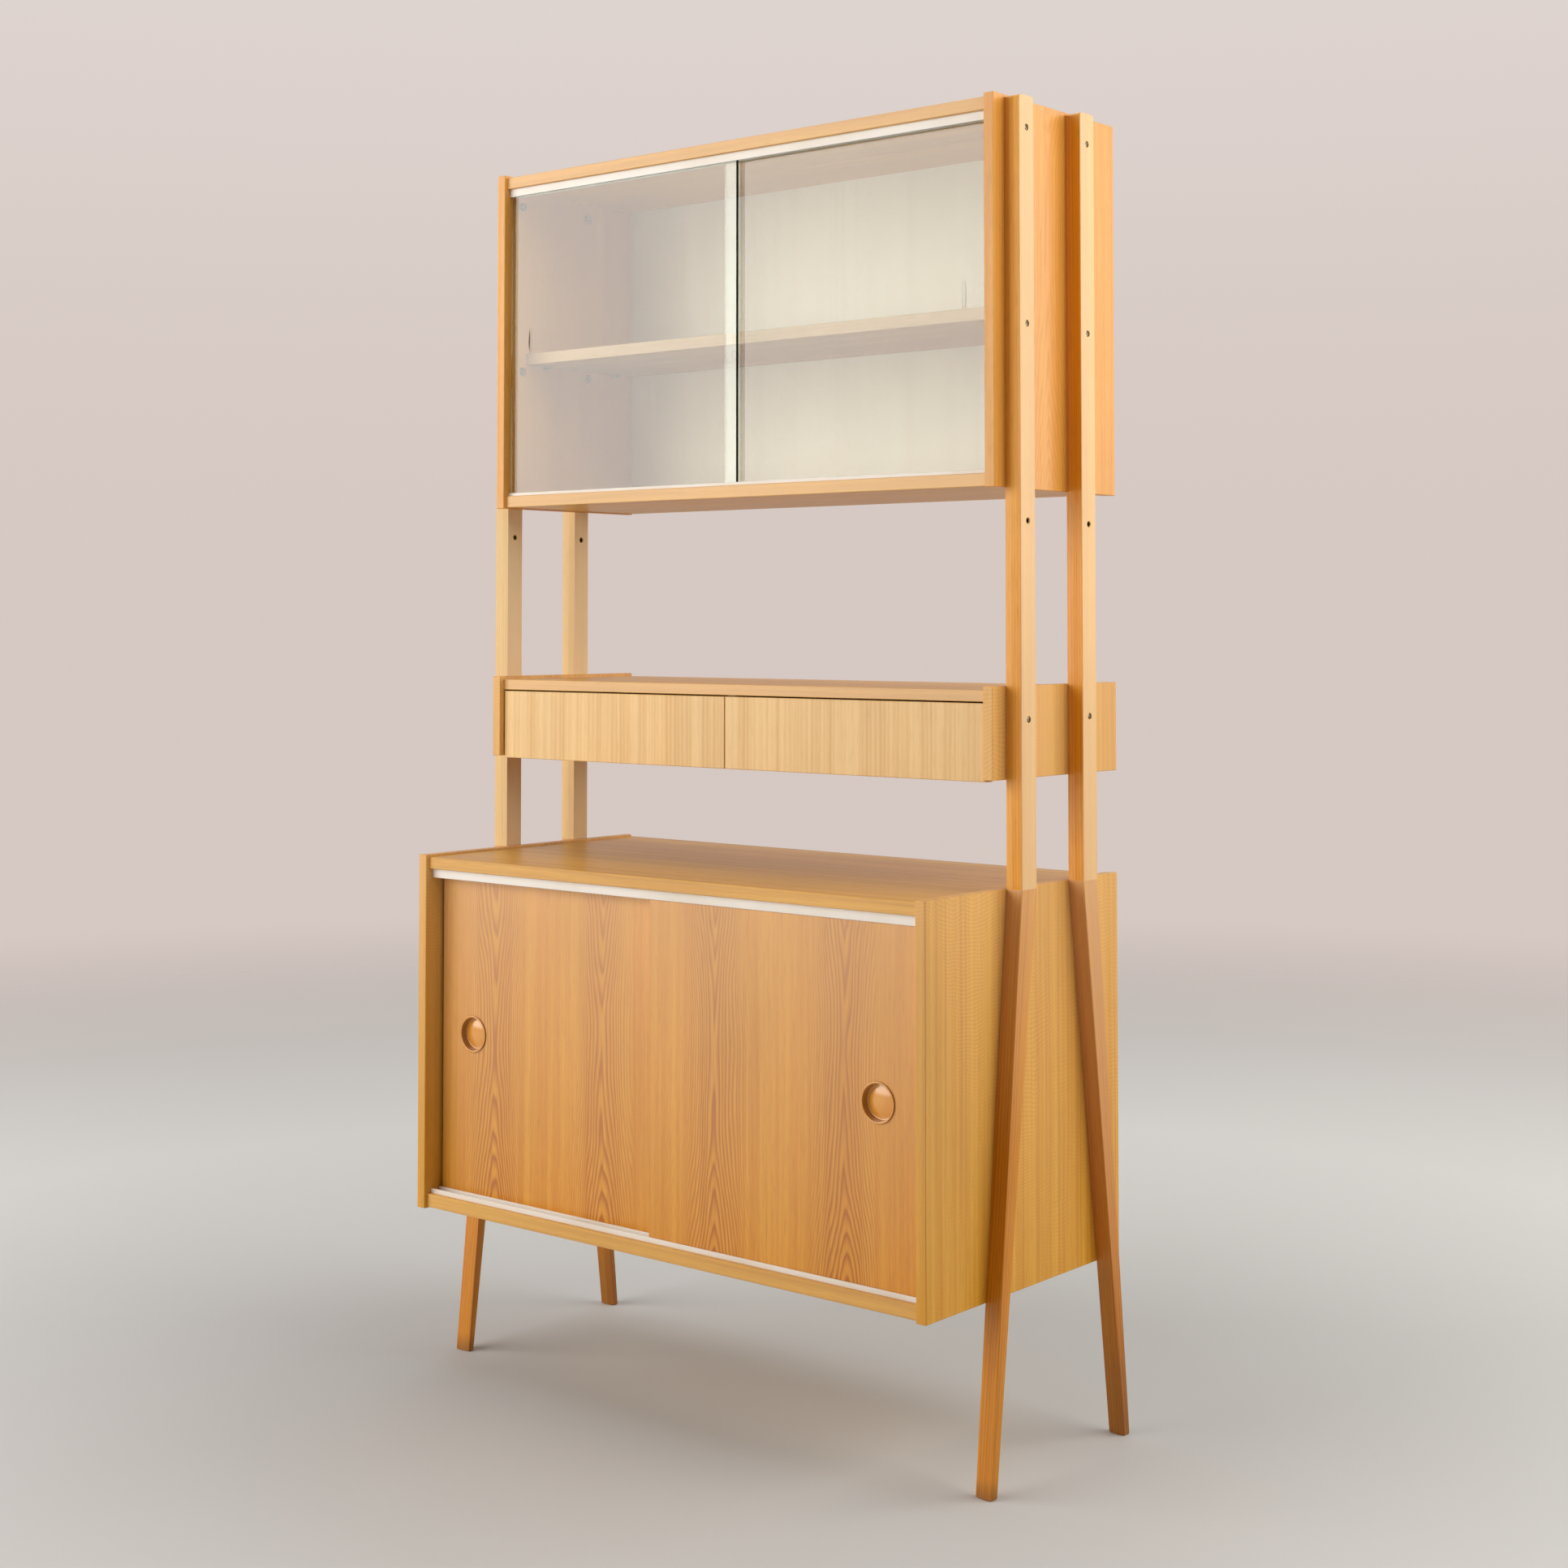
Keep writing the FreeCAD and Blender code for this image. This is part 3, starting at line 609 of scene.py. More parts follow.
# Painted sheen: the boards' front and back faces get a paler tone, and the copy for the upper cabinet and
# drawer unit gets more of it
BOARD_ASH = Wood("Rift-cut ash veneer, boards", "#DCA640", "#D0942F", "#AA701A", Axis.WIDE, Axis.DEEP,
                 ring_mm=8.0, line_strength=0.40, roughness=0.44, lit_face=Axis.DEEP, lit_face_share=0.14)
SHEEN_EDGED_BOARD_ASH = replace(BOARD_ASH, name="Rift-cut ash veneer, boards with painted sheen on the edges", lit_face_share=0.45)
SHELF_ASH = Wood("Bleached ash veneer, shelves", "#C09568", "#B48658", "#986F42", Axis.WIDE, Axis.DEEP,
                 ring_mm=7.0, line_strength=0.25, relief_mm=0.05, roughness=0.5, coat=0.0)
# Painted sheen: the posts' faces that look sideways get a paler tone than their fronts
POST_ASH = Wood("Solid ash, posts", "#EEAA26", "#E29614", "#B86C0A", Axis.UP, Axis.WIDE, ring_mm=4.6,
                line_strength=0.42, sway_mm=3.0, roughness=0.44, coat=0.0, lit_colour="#E2CAA4",
                lit_face=Axis.WIDE, lit_face_share=0.6)
# The left posts are a paler copy of the post wood: painted light for the sheen that falls on them from the
# left
LIT_LEFT_POST_ASH = replace(POST_ASH, name="Solid ash, left posts, painted lighter", early="#ECBE50", body="#E0AC3C",
                        late="#B47E1E", top_light=0.45, top_light_mm=(0.0, 700.0), lit_face_share=0.3)
# Painted light: the legs get a paler tone towards their top
FRONT_LEG_ASH = Wood("Solid ash, front legs", "#DB9216", "#CF800C", "#9F5807", Axis.UP, Axis.WIDE,
                     ring_mm=4.6, line_strength=0.45, sway_mm=3.0, lean=LEG_LEAN, foot_dark_mm=30.0,
                     top_light=0.3, top_light_mm=(430.0, 770.0), coat=0.0)
REAR_LEG_ASH = Wood("Solid ash, rear legs", "#D28814", "#C6760C", "#985407", Axis.UP, Axis.WIDE,
                    ring_mm=4.6, line_strength=0.45, sway_mm=3.0, lean=-LEG_LEAN, foot_dark_mm=260.0,
                    top_light=0.45, top_light_mm=(180.0, 770.0), coat=0.0)
# Painted shade in the hollow: the walls keep a dark tone, and only faces that look out of the door get the
# lit golden colour
PULL_ASH = Wood("Turned solid ash, pulls", "#A2600E", "#8E4E08", "#6E3804", Axis.UP, Axis.WIDE, ring_mm=5.0,
                line_strength=0.25, lit_colour="#EAA238", lit_face=Axis.DEEP, lit_face_share=0.85, roughness=0.25,
                coat=1.0, coat_roughness=0.15)
BEECH = Wood("Planed beech", "#DDBB90", "#D2AC7F", "#B58857", Axis.DEEP, Axis.UP, ring_mm=4.0,
             line_strength=0.25, coat=0.1)
PLYWOOD = Wood("Sanded birch plywood", "#CFAB7E", "#C49C6C", "#A97F50", Axis.UP, Axis.WIDE, Figure.FLAME,
               ring_mm=10.0, leaf_mm=480.0, waist_mm=900.0, line_strength=0.35, flame_reach_mm=190.0,
               tightening=0.002, coat=0.0, roughness=0.55)
PALE_PLYWOOD = Wood("Pale-stained birch plywood", "#E8DCCC", "#E4D6C6", "#D8C8B4", Axis.UP, Axis.WIDE,
                    ring_mm=14.0, line_strength=0.1, pore_strength=0.02, relief_mm=0.0, coat=0.0,
                    roughness=0.6)
BRASS = Metal("Tarnished turned brass", "#A8894E", "#4A3B22")
BOLT_NICKEL = Metal("Nickel-plated brass, dulled", "#9A937E", "#4A4436", patch_mm=2.0)
STEEL = Metal("Zinc-plated steel", "#A5A49F", "#6F6D69")


class Workshop:
    """Keeps one material per finish and hands it to CAD nodes and new pieces."""

    def __init__(self) -> None:
        """Starts with no material made."""
        self.made: dict[str, bpy.types.Material] = {}

    def finish(self, finish: Finish) -> bpy.types.Material:
        """Gives a finish's material, made on first use.

        Args:
            finish: the finish wanted.

        Returns:
            Its material.
        """
        if finish.name not in self.made:
            self.made[finish.name] = finish.material()
        return self.made[finish.name]

    def coat(self, thing: bpy.types.Object, material: bpy.types.Material) -> None:
        """Puts one material on an object and reports it.

        Args:
            thing: the object.
            material: what it gets.
        """
        thing.data.materials.clear()
        thing.data.materials.append(material)
        LOG.info("%s: %s", thing.name, material.name)

    def dress(self, nodes: Iterable[str], finish: Finish) -> None:
        """Puts a finish on CAD nodes.

        Args:
            nodes: the nodes' names.
            finish: what they get.
        """
        for node in nodes:
            self.coat(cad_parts[node], self.finish(finish))


def both(name: str) -> list[str]:
    """Names the left and the right node of a pair.

    Args:
        name: the name without its hand.

    Returns:
        Both names.
    """
    return [f"{name}_{hand}" for hand in HANDS]


def start_piece(name: str) -> bpy.types.Object:
    """Names the primitive that was just added, applies its place and enters edit mode.

    Args:
        name: the piece's name.

    Returns:
        The piece, with nothing of it selected.
    """
    piece = bpy.context.object
    piece.name = name
    bpy.ops.object.transform_apply(location=True, rotation=True, scale=True)
    bpy.ops.object.mode_set(mode="EDIT")
    bpy.ops.mesh.select_all(action="DESELECT")
    return piece


def pick(piece: bpy.types.Object, kind: str, wanted: Callable[[Vector], bool]) -> None:
    """Selects faces or edges of a piece in edit mode by the place of their middle.

    Args:
        piece: the piece in edit mode.
        kind: "FACE" or "EDGE".
        wanted: tells from a middle point whether its face or edge is selected.
    """
    bpy.ops.mesh.select_mode(type=kind)
    bpy.ops.mesh.select_all(action="DESELECT")
    bpy.ops.object.mode_set(mode="OBJECT")
    mesh = piece.data
    if kind == "FACE":
        for face in mesh.polygons:
            face.select = wanted(face.center)
    else:
        for edge in mesh.edges:
            start, end = [mesh.vertices[number].co for number in edge.vertices]
            edge.select = wanted((start + end) / 2.0)
    bpy.ops.object.mode_set(mode="EDIT")


def end_piece(smooth_degrees: float = 35.0) -> None:
    """Leaves edit mode with doubles merged, normals outward and rounded faces smooth.

    Args:
        smooth_degrees: edges flatter than this are shaded smooth.
    """
    bpy.ops.mesh.select_all(action="SELECT")
    bpy.ops.mesh.remove_doubles(threshold=0.001 * MM)
    bpy.ops.mesh.normals_make_consistent(inside=False)
    bpy.ops.object.mode_set(mode="OBJECT")
    bpy.ops.object.shade_smooth_by_angle(angle=math.radians(smooth_degrees))


@dataclass
class TurnedPull:
    """A finger pull turned from solid ash: a thin proud rim, a steep wall and a faintly domed floor."""

    hand: str
    rim_mm: float = 2.8
    rim_round_mm: float = 1.0
    rim_round_steps: int = 5
    body_mm: float = 25.0
    body_deep_mm: float = 10.0
    proud_mm: float = 2.2
    wall_deep_mm: float = 10.6
    wall_draw: float = 0.95
    foot_round_mm: float = 2.0
    foot_round_steps: int = 4
    floor_rise_mm: float = 3.1
    floor_rings: int = 7
    segments: int = 96

    def build(self, shop: Workshop) -> None:
        """Turns the pull and sets it in its door.

        Args:
            shop: gives the finish.
        """
        node = f"pull_{self.hand}"
        low, high = [Vector(corner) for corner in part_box(node)]
        middle = (low + high) / 2.0
        axis = Vector((middle.x, 0.0, middle.z))
        rim = (high.x - low.x) / 2.0
        inner = rim - self.rim_mm * MM
        front = low.y
        face = front + self.proud_mm * MM
        body = self.body_mm * MM
        depth = self.body_deep_mm * MM

        bpy.ops.object.select_all(action="DESELECT")
        bpy.ops.mesh.primitive_cylinder_add(
            vertices=self.segments, radius=body, depth=depth, rotation=(math.pi / 2.0, 0.0, 0.0),
            location=(middle.x, face + depth / 2.0, middle.z))
        piece = start_piece(f"turned_pull_{self.hand}")
        pick(piece, "FACE", lambda spot: spot.y < face + NEAR)
        self.step(axis, 0.0, rim / body)
        self.step(axis, -self.proud_mm * MM, 1.0)
        bpy.ops.mesh.inset(thickness=self.rim_mm * MM)
        self.step(axis, self.wall_deep_mm * MM, self.wall_draw)
        for ring in range(self.floor_rings):
            here = 1.0 - ring / (self.floor_rings + 1)
            there = 1.0 - (ring + 1) / (self.floor_rings + 1)
            rise = self.floor_rise_mm * MM * (here ** 2 - there ** 2)
            self.step(axis, -rise, there / here)
        bpy.ops.mesh.poke()

        top = front + NEAR
        pick(piece, "EDGE", lambda spot: spot.y < top and (spot - axis).xz.length > inner - CHORD)
        bpy.ops.mesh.bevel(offset=self.rim_round_mm * MM, segments=self.rim_round_steps, affect="EDGES")
        foot = front + self.wall_deep_mm * MM
        pick(piece, "EDGE", lambda spot: abs(spot.y - foot) < NEAR and (spot - axis).xz.length < inner)
        bpy.ops.mesh.bevel(offset=self.foot_round_mm * MM, segments=self.foot_round_steps, affect="EDGES")
        end_piece()
        shop.coat(piece, shop.finish(PULL_ASH))
        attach(piece, f"lower_door_{self.hand}")
        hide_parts(node)

    def step(self, axis: Vector, inward: float, draw: float) -> None:
        """Extrudes the selected disc along the turning axis and draws it in.

        Args:
            axis: a point on the turning axis.
            inward: metres into the door.
            draw: the new radius as a share of the old.
        """
        bpy.ops.mesh.extrude_region_move(TRANSFORM_OT_translate={"value": (0.0, inward, 0.0)})
        bpy.ops.transform.resize(value=(draw, 1.0, draw), center_override=axis)


@dataclass
class PostFittings:
    """Turned fittings that repeat at the posts: slotted bolts, their sleeve nuts and the hole sleeves.

    Each is modelled once along X with its visible face at the origin, copied to every place of its
    CAD group and joined.
    """

    shop: Workshop
    head_mm: float = 4.5
    head_long_mm: float = 5.0
    dome_mm: float = 0.9
    dome_rises: tuple[float, ...] = (0.45, 0.30, 0.15)
    dome_draws: tuple[float, ...] = (0.84, 0.72, 0.45)
    shank_mm: float = 3.0
    shank_long_mm: float = 32.5
    slot_wide_mm: float = 1.2
    slot_deep_mm: float = 1.3
    nut_mm: float = 7.0
    nut_tall_mm: float = 2.5
    barrel_mm: float = 4.0
    barrel_long_mm: float = 16.0
    nut_end_mm: float = 2.0
    nut_play_mm: float = 0.15
    nut_round_mm: float = 1.3
    nut_round_steps: int = 4
    sleeve_mm: float = 4.5
    sleeve_long_mm: float = 25.0
    sleeve_wall_mm: float = 1.2
    sleeve_round_mm: float = 0.4
    sleeve_round_steps: int = 3
    segments: int = 32
    slot_turn: float = 0.9

    def build(self) -> None:
        """Makes all fittings."""
        for group in ("upper", "drawer_unit"):
            self.place(self.bolt(), f"{group}_slotted_bolts", f"{group}_bolts", self.head_mm, BOLT_NICKEL)
            self.place(self.nut(), f"{group}_capped_nuts", f"{group}_nuts", self.nut_mm, BRASS)
        self.place(self.sleeve(), "turned_hole_sleeves", "post_hole_sleeves", self.sleeve_mm, BRASS)

    def turned(self, name: str, radius: float, start: float, end: float) -> bpy.types.Object:
        """Starts a fitting as a disc along X.

        Args:
            name: the fitting's name.
            radius: its radius in millimetres.
            start: where it begins on X, in millimetres.
            end: where it ends on X, in millimetres.

        Returns:
            The fitting in edit mode.
        """
        bpy.ops.object.select_all(action="DESELECT")
        bpy.ops.mesh.primitive_cylinder_add(
            vertices=self.segments, radius=radius * MM, depth=(end - start) * MM,
            rotation=(0.0, math.pi / 2.0, 0.0), location=((start + end) / 2.0 * MM, 0.0, 0.0))
        return start_piece(name)

    def push(self, along: float, draw: float = 1.0) -> None:
        """Extrudes the selected disc along X and draws it in.

        Args:
            along: millimetres along X.
            draw: the new radius as a share of the old.
        """
        bpy.ops.mesh.extrude_region_move(TRANSFORM_OT_translate={"value": (along * MM, 0.0, 0.0)})
        bpy.ops.transform.resize(value=(1.0, draw, draw), center_override=(0.0, 0.0, 0.0))

    def cut_slot(self, piece: bpy.types.Object, face: float) -> None:
        """Saws a screwdriver slot into a fitting's visible face.

        Args:
            piece: the fitting, in object mode.
            face: where its face lies on X, in millimetres.
        """
        bpy.ops.object.select_all(action="DESELECT")
        bpy.ops.mesh.primitive_cube_add(size=1.0, location=(face * MM, 0.0, 0.0))
        saw = bpy.context.object
        past_cap = 4.0 * self.nut_mm
        saw.scale = (2.0 * self.slot_deep_mm * MM, past_cap * MM, self.slot_wide_mm * MM)
        bpy.ops.object.transform_apply(location=True, rotation=True, scale=True)
        cut = piece.modifiers.new("slot", "BOOLEAN")
        cut.operation = "DIFFERENCE"
        cut.solver = "EXACT"
        cut.object = saw
        bpy.context.view_layer.objects.active = piece
        bpy.ops.object.modifier_apply(modifier=cut.name)
        bpy.data.objects.remove(saw)

    def bolt(self) -> bpy.types.Object:
        """Turns a domed, slotted bolt whose head points along +X.

        Returns:
            The bolt.
        """
        piece = self.turned("bolt", self.head_mm, -self.head_long_mm, 0.0)
        pick(piece, "FACE", lambda spot: spot.x > -NEAR)
        for rise, draw in zip(self.dome_rises, self.dome_draws):
            self.push(rise * self.dome_mm, draw)
        pick(piece, "FACE", lambda spot: spot.x < NEAR - self.head_long_mm * MM)
        bpy.ops.mesh.inset(thickness=(self.head_mm - self.shank_mm) * MM)
        self.push(-self.shank_long_mm)
        end_piece()
        self.cut_slot(piece, self.dome_mm)
        return piece

    def nut(self) -> bpy.types.Object:
        """Turns a sleeve nut whose slotted cap points along -X.

        Returns:
            The nut.
        """
        piece = self.turned("nut", self.nut_mm, 0.0, self.nut_tall_mm)
        pick(piece, "FACE", lambda spot: spot.x > self.nut_tall_mm * MM - NEAR)
        bpy.ops.mesh.inset(thickness=(self.nut_mm - self.barrel_mm) * MM)
        self.push(self.barrel_long_mm)
        bpy.ops.mesh.inset(thickness=(self.barrel_mm - self.shank_mm - self.nut_play_mm) * MM)
        self.push(self.nut_end_mm - self.barrel_long_mm)
        rim = self.nut_mm * MM - CHORD
        pick(piece, "EDGE", lambda spot: spot.x < NEAR and spot.yz.length > rim)
        bpy.ops.mesh.bevel(offset=self.nut_round_mm * MM, segments=self.nut_round_steps, affect="EDGES")
        end_piece()
        self.cut_slot(piece, 0.0)
        return piece

    def sleeve(self) -> bpy.types.Object:
        """Turns an open tube that ends at the origin and runs along -X.

        Returns:
            The sleeve.
        """
        piece = self.turned("sleeve", self.sleeve_mm, -self.sleeve_long_mm, 0.0)
        middle = -self.sleeve_long_mm / 2.0 * MM
        half = self.sleeve_long_mm / 2.0 * MM - NEAR
        bore = (self.sleeve_mm - self.sleeve_wall_mm) * MM + CHORD
        pick(piece, "FACE", lambda spot: abs(spot.x - middle) > half)
        bpy.ops.mesh.inset(thickness=self.sleeve_wall_mm * MM)
        bpy.ops.mesh.delete(type="FACE")
        pick(piece, "EDGE", lambda spot: spot.yz.length < bore)
        bpy.ops.mesh.bridge_edge_loops()
        pick(piece, "EDGE", lambda spot: abs(spot.x - middle) > half and spot.yz.length < bore)
        bpy.ops.mesh.bevel(
            offset=self.sleeve_round_mm * MM, segments=self.sleeve_round_steps, affect="EDGES")
        end_piece()
        return piece

    def place(self, pattern: bpy.types.Object, name: str, node: str, radius: float, finish: Finish) -> None:
        """Copies a fitting to all places of its CAD group, joins the copies and dresses them.

        Args:
            pattern: the fitting at the origin, which is removed afterwards.
            name: the joined piece's name.
            node: the CAD group that it stands for.
            radius: the fitting's largest radius in millimetres.
            finish: the metal.
        """
        low, high = [Vector(corner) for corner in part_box(node)]
        inside = node.endswith("nuts")
        face = self.nearest_middle(node) if inside else high.x
        bpy.ops.object.select_all(action="DESELECT")
        made = []
        for side in (1.0, -1.0):
            for y in self.rows(low.y, high.y, radius * MM):
                for z in self.rows(low.z, high.z, radius * MM):
                    copy = pattern.copy()
                    copy.data = pattern.data.copy()
                    bpy.context.collection.objects.link(copy)
                    copy.location = (side * face, y, z)
                    copy.rotation_euler = (self.slot_turn * len(made), 0.0, 0.0 if side > 0 else math.pi)
                    copy.select_set(True)
                    made.append(copy)
        bpy.data.objects.remove(pattern)
        bpy.context.view_layer.objects.active = made[0]
        bpy.ops.object.transform_apply(location=True, rotation=True, scale=True)
        bpy.ops.object.join()
        piece = bpy.context.object
        piece.name = name
        self.shop.coat(piece, self.shop.finish(finish))
        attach(piece, "root")
        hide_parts(node)

    def nearest_middle(self, node: str) -> float:
        """Finds how far from the middle plane a group's inner ends lie.

        Args:
            node: the CAD group.

        Returns:
            Metres from the middle plane.
        """
        return min(abs(vertex.co.x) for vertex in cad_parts[node].data.vertices)

    def rows(self, low: float, high: float, radius: float) -> list[float]:
        """Finds the middle lines of one or two rows of fittings from the group's extent.

        Args:
            low: where the group begins.
            high: where the group ends.
            radius: half the size of one fitting.

        Returns:
            One middle line, or two where the group is wider than one fitting.
        """
        one_row = 3.0 * radius
        if high - low < one_row:
            return [(low + high) / 2.0]
        reach = radius * math.cos(math.pi / CAD_DISC_SIDES)
        return [low + reach, high - reach]


@dataclass
class Stand:
    """The posts and splayed legs that carry the cabinets."""

    shop: Workshop

    def build(self) -> None:
        """Dresses posts, legs and what joins them, and turns the fittings."""
        self.shop.dress(["post_front_left", "post_rear_left"], LIT_LEFT_POST_ASH)
        self.shop.dress(["post_front_right", "post_rear_right"], POST_ASH)
        self.shop.dress(both("leg_front"), FRONT_LEG_ASH)
        self.shop.dress(both("leg_rear"), REAR_LEG_ASH)
        self.shop.dress(["post_dowels"], BEECH)
        PostFittings(self.shop).build()


@dataclass
class LowerCabinet:
    """The base cabinet: sides, boards, back, shelf, tracks, sliding doors and their pulls."""

    shop: Workshop

    def build(self) -> None:
        """Dresses the cabinet and turns its pulls."""
        self.shop.dress(both("lower_side"), SIDE_ASH)
        self.shop.dress(["lower_top", "lower_bottom"], BOARD_ASH)
        self.shop.dress(["lower_back"], PLYWOOD)
        self.shop.dress(["lower_shelf"], SHELF_ASH)
        self.shop.dress(["lower_track_top", "lower_track_bottom"], TrackPlastic())
        self.shop.dress(both("lower_door"), DOOR_ASH)
        self.shop.dress(["lower_shelf_pins"], BRASS)
        self.shop.dress(["leg_screws"], STEEL)
        for hand in HANDS:
            TurnedPull(hand).build(self.shop)


@dataclass
class DrawerUnit:
    """The shallow unit with two drawers on wooden runners."""

    shop: Workshop

    def build(self) -> None:
        """Dresses the unit and its drawers."""
        self.shop.dress(both("drawer_unit_side"), SIDE_ASH)
        self.shop.dress(["drawer_unit_top"], SHEEN_EDGED_BOARD_ASH)
        self.shop.dress(["drawer_unit_bottom", "drawer_unit_back"] + both("drawer_base"), PLYWOOD)
        self.shop.dress(["drawer_unit_divider", "drawer_runners"], BEECH)
        self.shop.dress(both("drawer_outer_side") + both("drawer_inner_side") + both("drawer_back"), BEECH)
        self.shop.dress(both("drawer_front"), DRAWER_ASH)


@dataclass
class UpperCabinet:
    """The glazed cabinet: sides, boards, back, shelf, tracks and sliding panes."""

    shop: Workshop
    grip_inset_mm: float = 44.0
    grip_rise_mm: float = 244.0

    def build(self) -> None:
        """Dresses the cabinet and its panes."""
        self.shop.dress(both("upper_side"), UPPER_SIDE_ASH)
        self.shop.dress(["upper_top", "upper_bottom"], SHEEN_EDGED_BOARD_ASH)
        self.shop.dress(["upper_back"], PALE_PLYWOOD)
        self.shop.dress(["upper_shelf"], SHELF_ASH)
        self.shop.dress(["upper_track_top", "upper_track_bottom"], TrackPlastic())
        self.shop.dress(["upper_shelf_pins"], BRASS)
        for hand in HANDS:
            node = f"glass_{hand}"
            low, high = [Vector(corner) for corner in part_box(node)]
            inset = self.grip_inset_mm * MM
            grip_x = high.x - inset if hand == "right" else low.x + inset
            material = SheetGlass().material(node, grip_x, low.z + self.grip_rise_mm * MM)
            self.shop.coat(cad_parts[node], material)


@dataclass(frozen=True)
class Lamp:
    """One soft box, such as a tall window or a pale ceiling, whose light fans out over an angle."""

    name: str
    place: tuple[float, float, float]
    aim: tuple[float, float, float]
    wide: float
    tall: float
    radiance: float
    colour: str
    fan_degrees: float = 180.0

    def light(self) -> None:
        """Hangs the lamp; its power is that of an evenly shining face, and a narrow fan gathers it."""
        data = bpy.data.lights.new(self.name, "AREA")
        data.shape = "RECTANGLE"
        data.size = self.wide
        data.size_y = self.tall
        data.energy = self.radiance * math.pi * self.wide * self.tall
        data.color = linear(self.colour)[:3]
        data.spread = math.radians(self.fan_degrees)
        lamp = bpy.data.objects.new(self.name, data)
        lamp.location = self.place
        way = Vector(self.aim) - Vector(self.place)
        lamp.rotation_euler = way.to_track_quat("-Z", "Y").to_euler()
        lamp.visible_camera = False
        bpy.context.scene.collection.objects.link(lamp)
        LOG.info("lamp %s", self.name)


LAMPS = (
    Lamp("window_left", place=(-2.7, -3.85, 2.2), aim=(0.0, 0.0, 1.2), wide=5.0, tall=3.6, radiance=3.9,
         colour="#FFF9F3"),
    Lamp("window_right", place=(3.0, 2.1, 2.4), aim=(0.0, 2.1, 2.4), wide=4.8, tall=2.8, radiance=3.42,
         colour="#FFF9F0"),
    Lamp("high_window", place=(3.0, -1.0, 2.9), aim=(-0.47, -0.08, 1.9), wide=1.0, tall=1.6, radiance=0.4,
         colour="#F0F5FF", fan_degrees=36.0),
    Lamp("ceiling", place=(0.0, 0.6, 4.6), aim=(0.0, 0.6, 0.0), wide=4.0, tall=4.0, radiance=1.2,
         colour="#FFFDFA"),
)


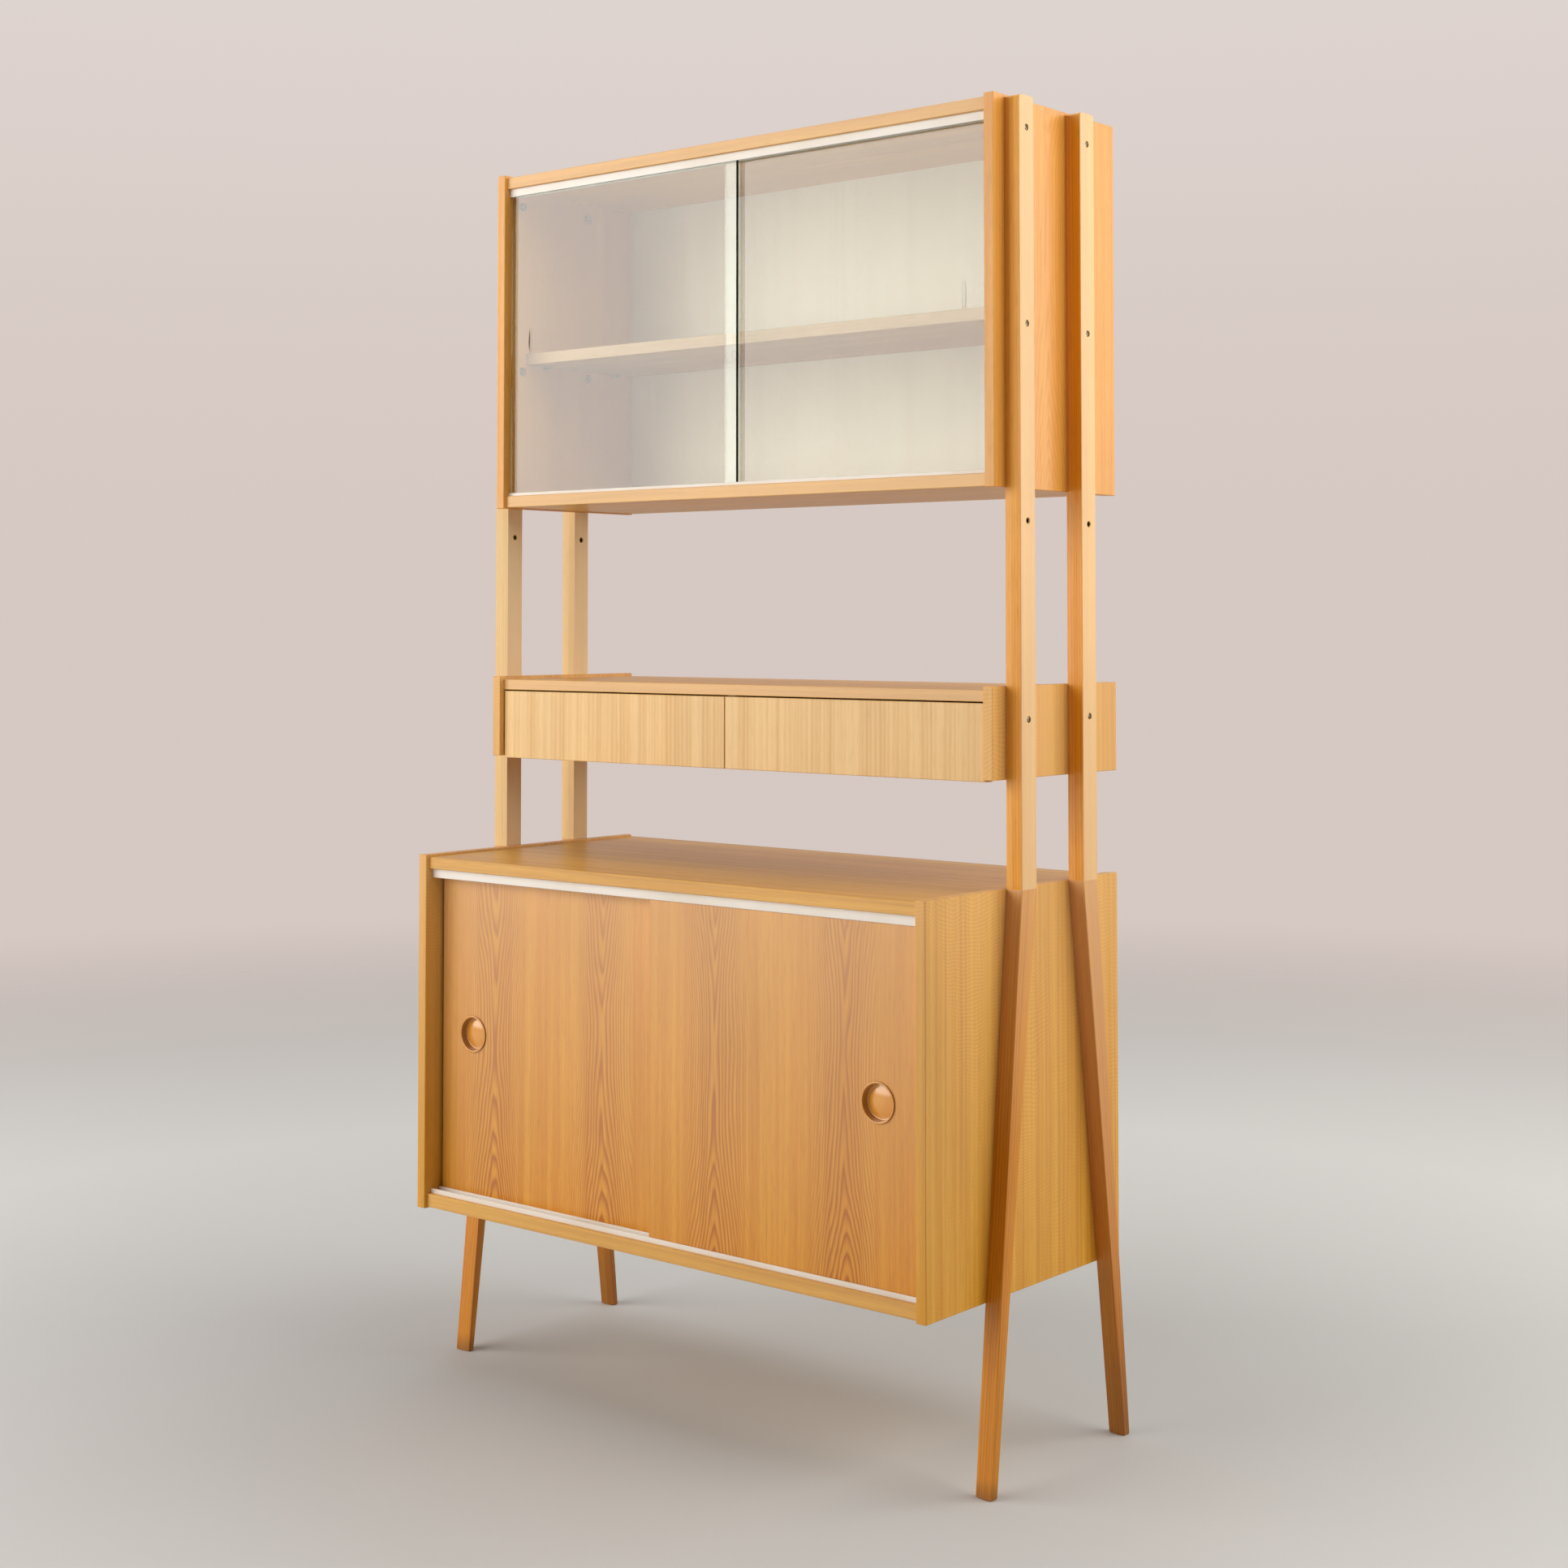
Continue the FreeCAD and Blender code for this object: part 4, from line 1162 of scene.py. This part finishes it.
@dataclass
class Studio:
    """A pale floor that fades into a pale room, soft boxes and the camera."""

    floor_radius: float = 6.0
    floor_clear: float = 1.8
    floor_colour: str = "#D0D3D5"
    floor_patch: str = "#C8CBCC"
    floor_far: str = "#E8EBEB"
    floor_far_span: Span = (0.7, 2.0)
    floor_patches_per_metre: float = 1.3
    floor_detail: float = 5.0
    floor_roughness: float = 0.7
    floor_sides: int = 128
    room_high: str = "#E4DCD8"
    room_low: str = "#D6C8C2"
    room_rise: Span = (0.0, 0.45)
    ambient: float = 0.18
    camera_place: tuple[float, float, float] = (2.2838, -2.6783, 1.1317)
    camera_pitch: float = 0.040
    camera_yaw: float = 0.694
    camera_sensor: float = 36.0
    camera_lens: float = 54.456
    camera_shift_up: float = -0.16345

    def build(self) -> None:
        """Sets up floor, room, lamps and camera."""
        self.lay_floor()
        self.fill_room()
        for lamp in LAMPS:
            lamp.light()
        self.set_camera()

    def lay_floor(self) -> None:
        """Lays smooth pale concrete that thins out into the room's colour far away."""
        bpy.ops.object.select_all(action="DESELECT")
        bpy.ops.mesh.primitive_circle_add(
            vertices=self.floor_sides, radius=self.floor_radius, fill_type="NGON")
        floor = bpy.context.object
        floor.name = "floor"
        material, tree = new_material("Trowelled pale concrete")
        place = add_node(tree, "TexCoord").outputs["Object"]
        patch = noise(tree, place, self.floor_patches_per_metre, self.floor_detail)
        near = blend(tree, patch, self.floor_colour, self.floor_patch)
        far = add_node(tree, "VectorMath", {0: place}, operation="LENGTH").outputs["Value"]
        colour = blend(tree, ramp(tree, far, self.floor_far_span), near, self.floor_far)
        solid = add_node(tree, "BsdfPrincipled", {"Base Color": colour, "Roughness": self.floor_roughness})
        clear = add_node(tree, "BsdfTransparent")
        fade = ramp(tree, far, (self.floor_clear, self.floor_radius), smooth=True)
        mixed = add_node(tree, "MixShader", {0: fade, 1: solid.outputs[0], 2: clear.outputs[0]})
        add_node(tree, "OutputMaterial", {0: mixed.outputs[0]})
        floor.data.materials.append(material)

    def fill_room(self) -> None:
        """Gives eye, gloss and glass a pale room, and everything else a plain soft light from all round."""
        world = bpy.data.worlds.new("pale_room")
        bpy.context.scene.world = world
        world.use_nodes = True
        tree = world.node_tree
        tree.nodes.clear()
        path = add_node(tree, "LightPath").outputs
        seen = path["Is Camera Ray"]
        for ray in ("Is Glossy Ray", "Is Transmission Ray"):
            seen = maths(tree, "MAXIMUM", seen, path[ray])
        way = add_node(tree, "TexCoord").outputs["Generated"]
        rise = add_node(tree, "SeparateXYZ", {0: way}).outputs[Axis.UP.value]
        share = ramp(tree, rise, self.room_rise, smooth=True)
        colour = blend(tree, share, self.room_low, self.room_high)
        soft = add_node(tree, "Background", {0: linear(self.room_high), 1: self.ambient})
        shown = add_node(tree, "Background", {0: colour, 1: 1.0})
        mixed = add_node(tree, "MixShader", {0: seen, 1: soft.outputs[0], 2: shown.outputs[0]})
        add_node(tree, "OutputWorld", {0: mixed.outputs[0]})

    def set_camera(self) -> None:
        """Puts the camera where the picture was taken from."""
        data = bpy.data.cameras.new("camera")
        data.sensor_width = self.camera_sensor
        data.lens = self.camera_lens
        data.shift_y = self.camera_shift_up
        camera = bpy.data.objects.new("camera", data)
        camera.location = self.camera_place
        camera.rotation_euler = (math.pi / 2.0 + self.camera_pitch, 0.0, self.camera_yaw)
        bpy.context.scene.collection.objects.link(camera)
        bpy.context.scene.camera = camera


def main() -> None:
    """Builds the highboard's looks and the studio round it."""
    logging.basicConfig(level=logging.INFO, format="%(name)s %(message)s")
    bpy.context.scene.view_settings.view_transform = "Standard"
    shop = Workshop()
    Stand(shop).build()
    LowerCabinet(shop).build()
    DrawerUnit(shop).build()
    UpperCabinet(shop).build()
    Studio().build()


if __name__ == "__main__":
    main()
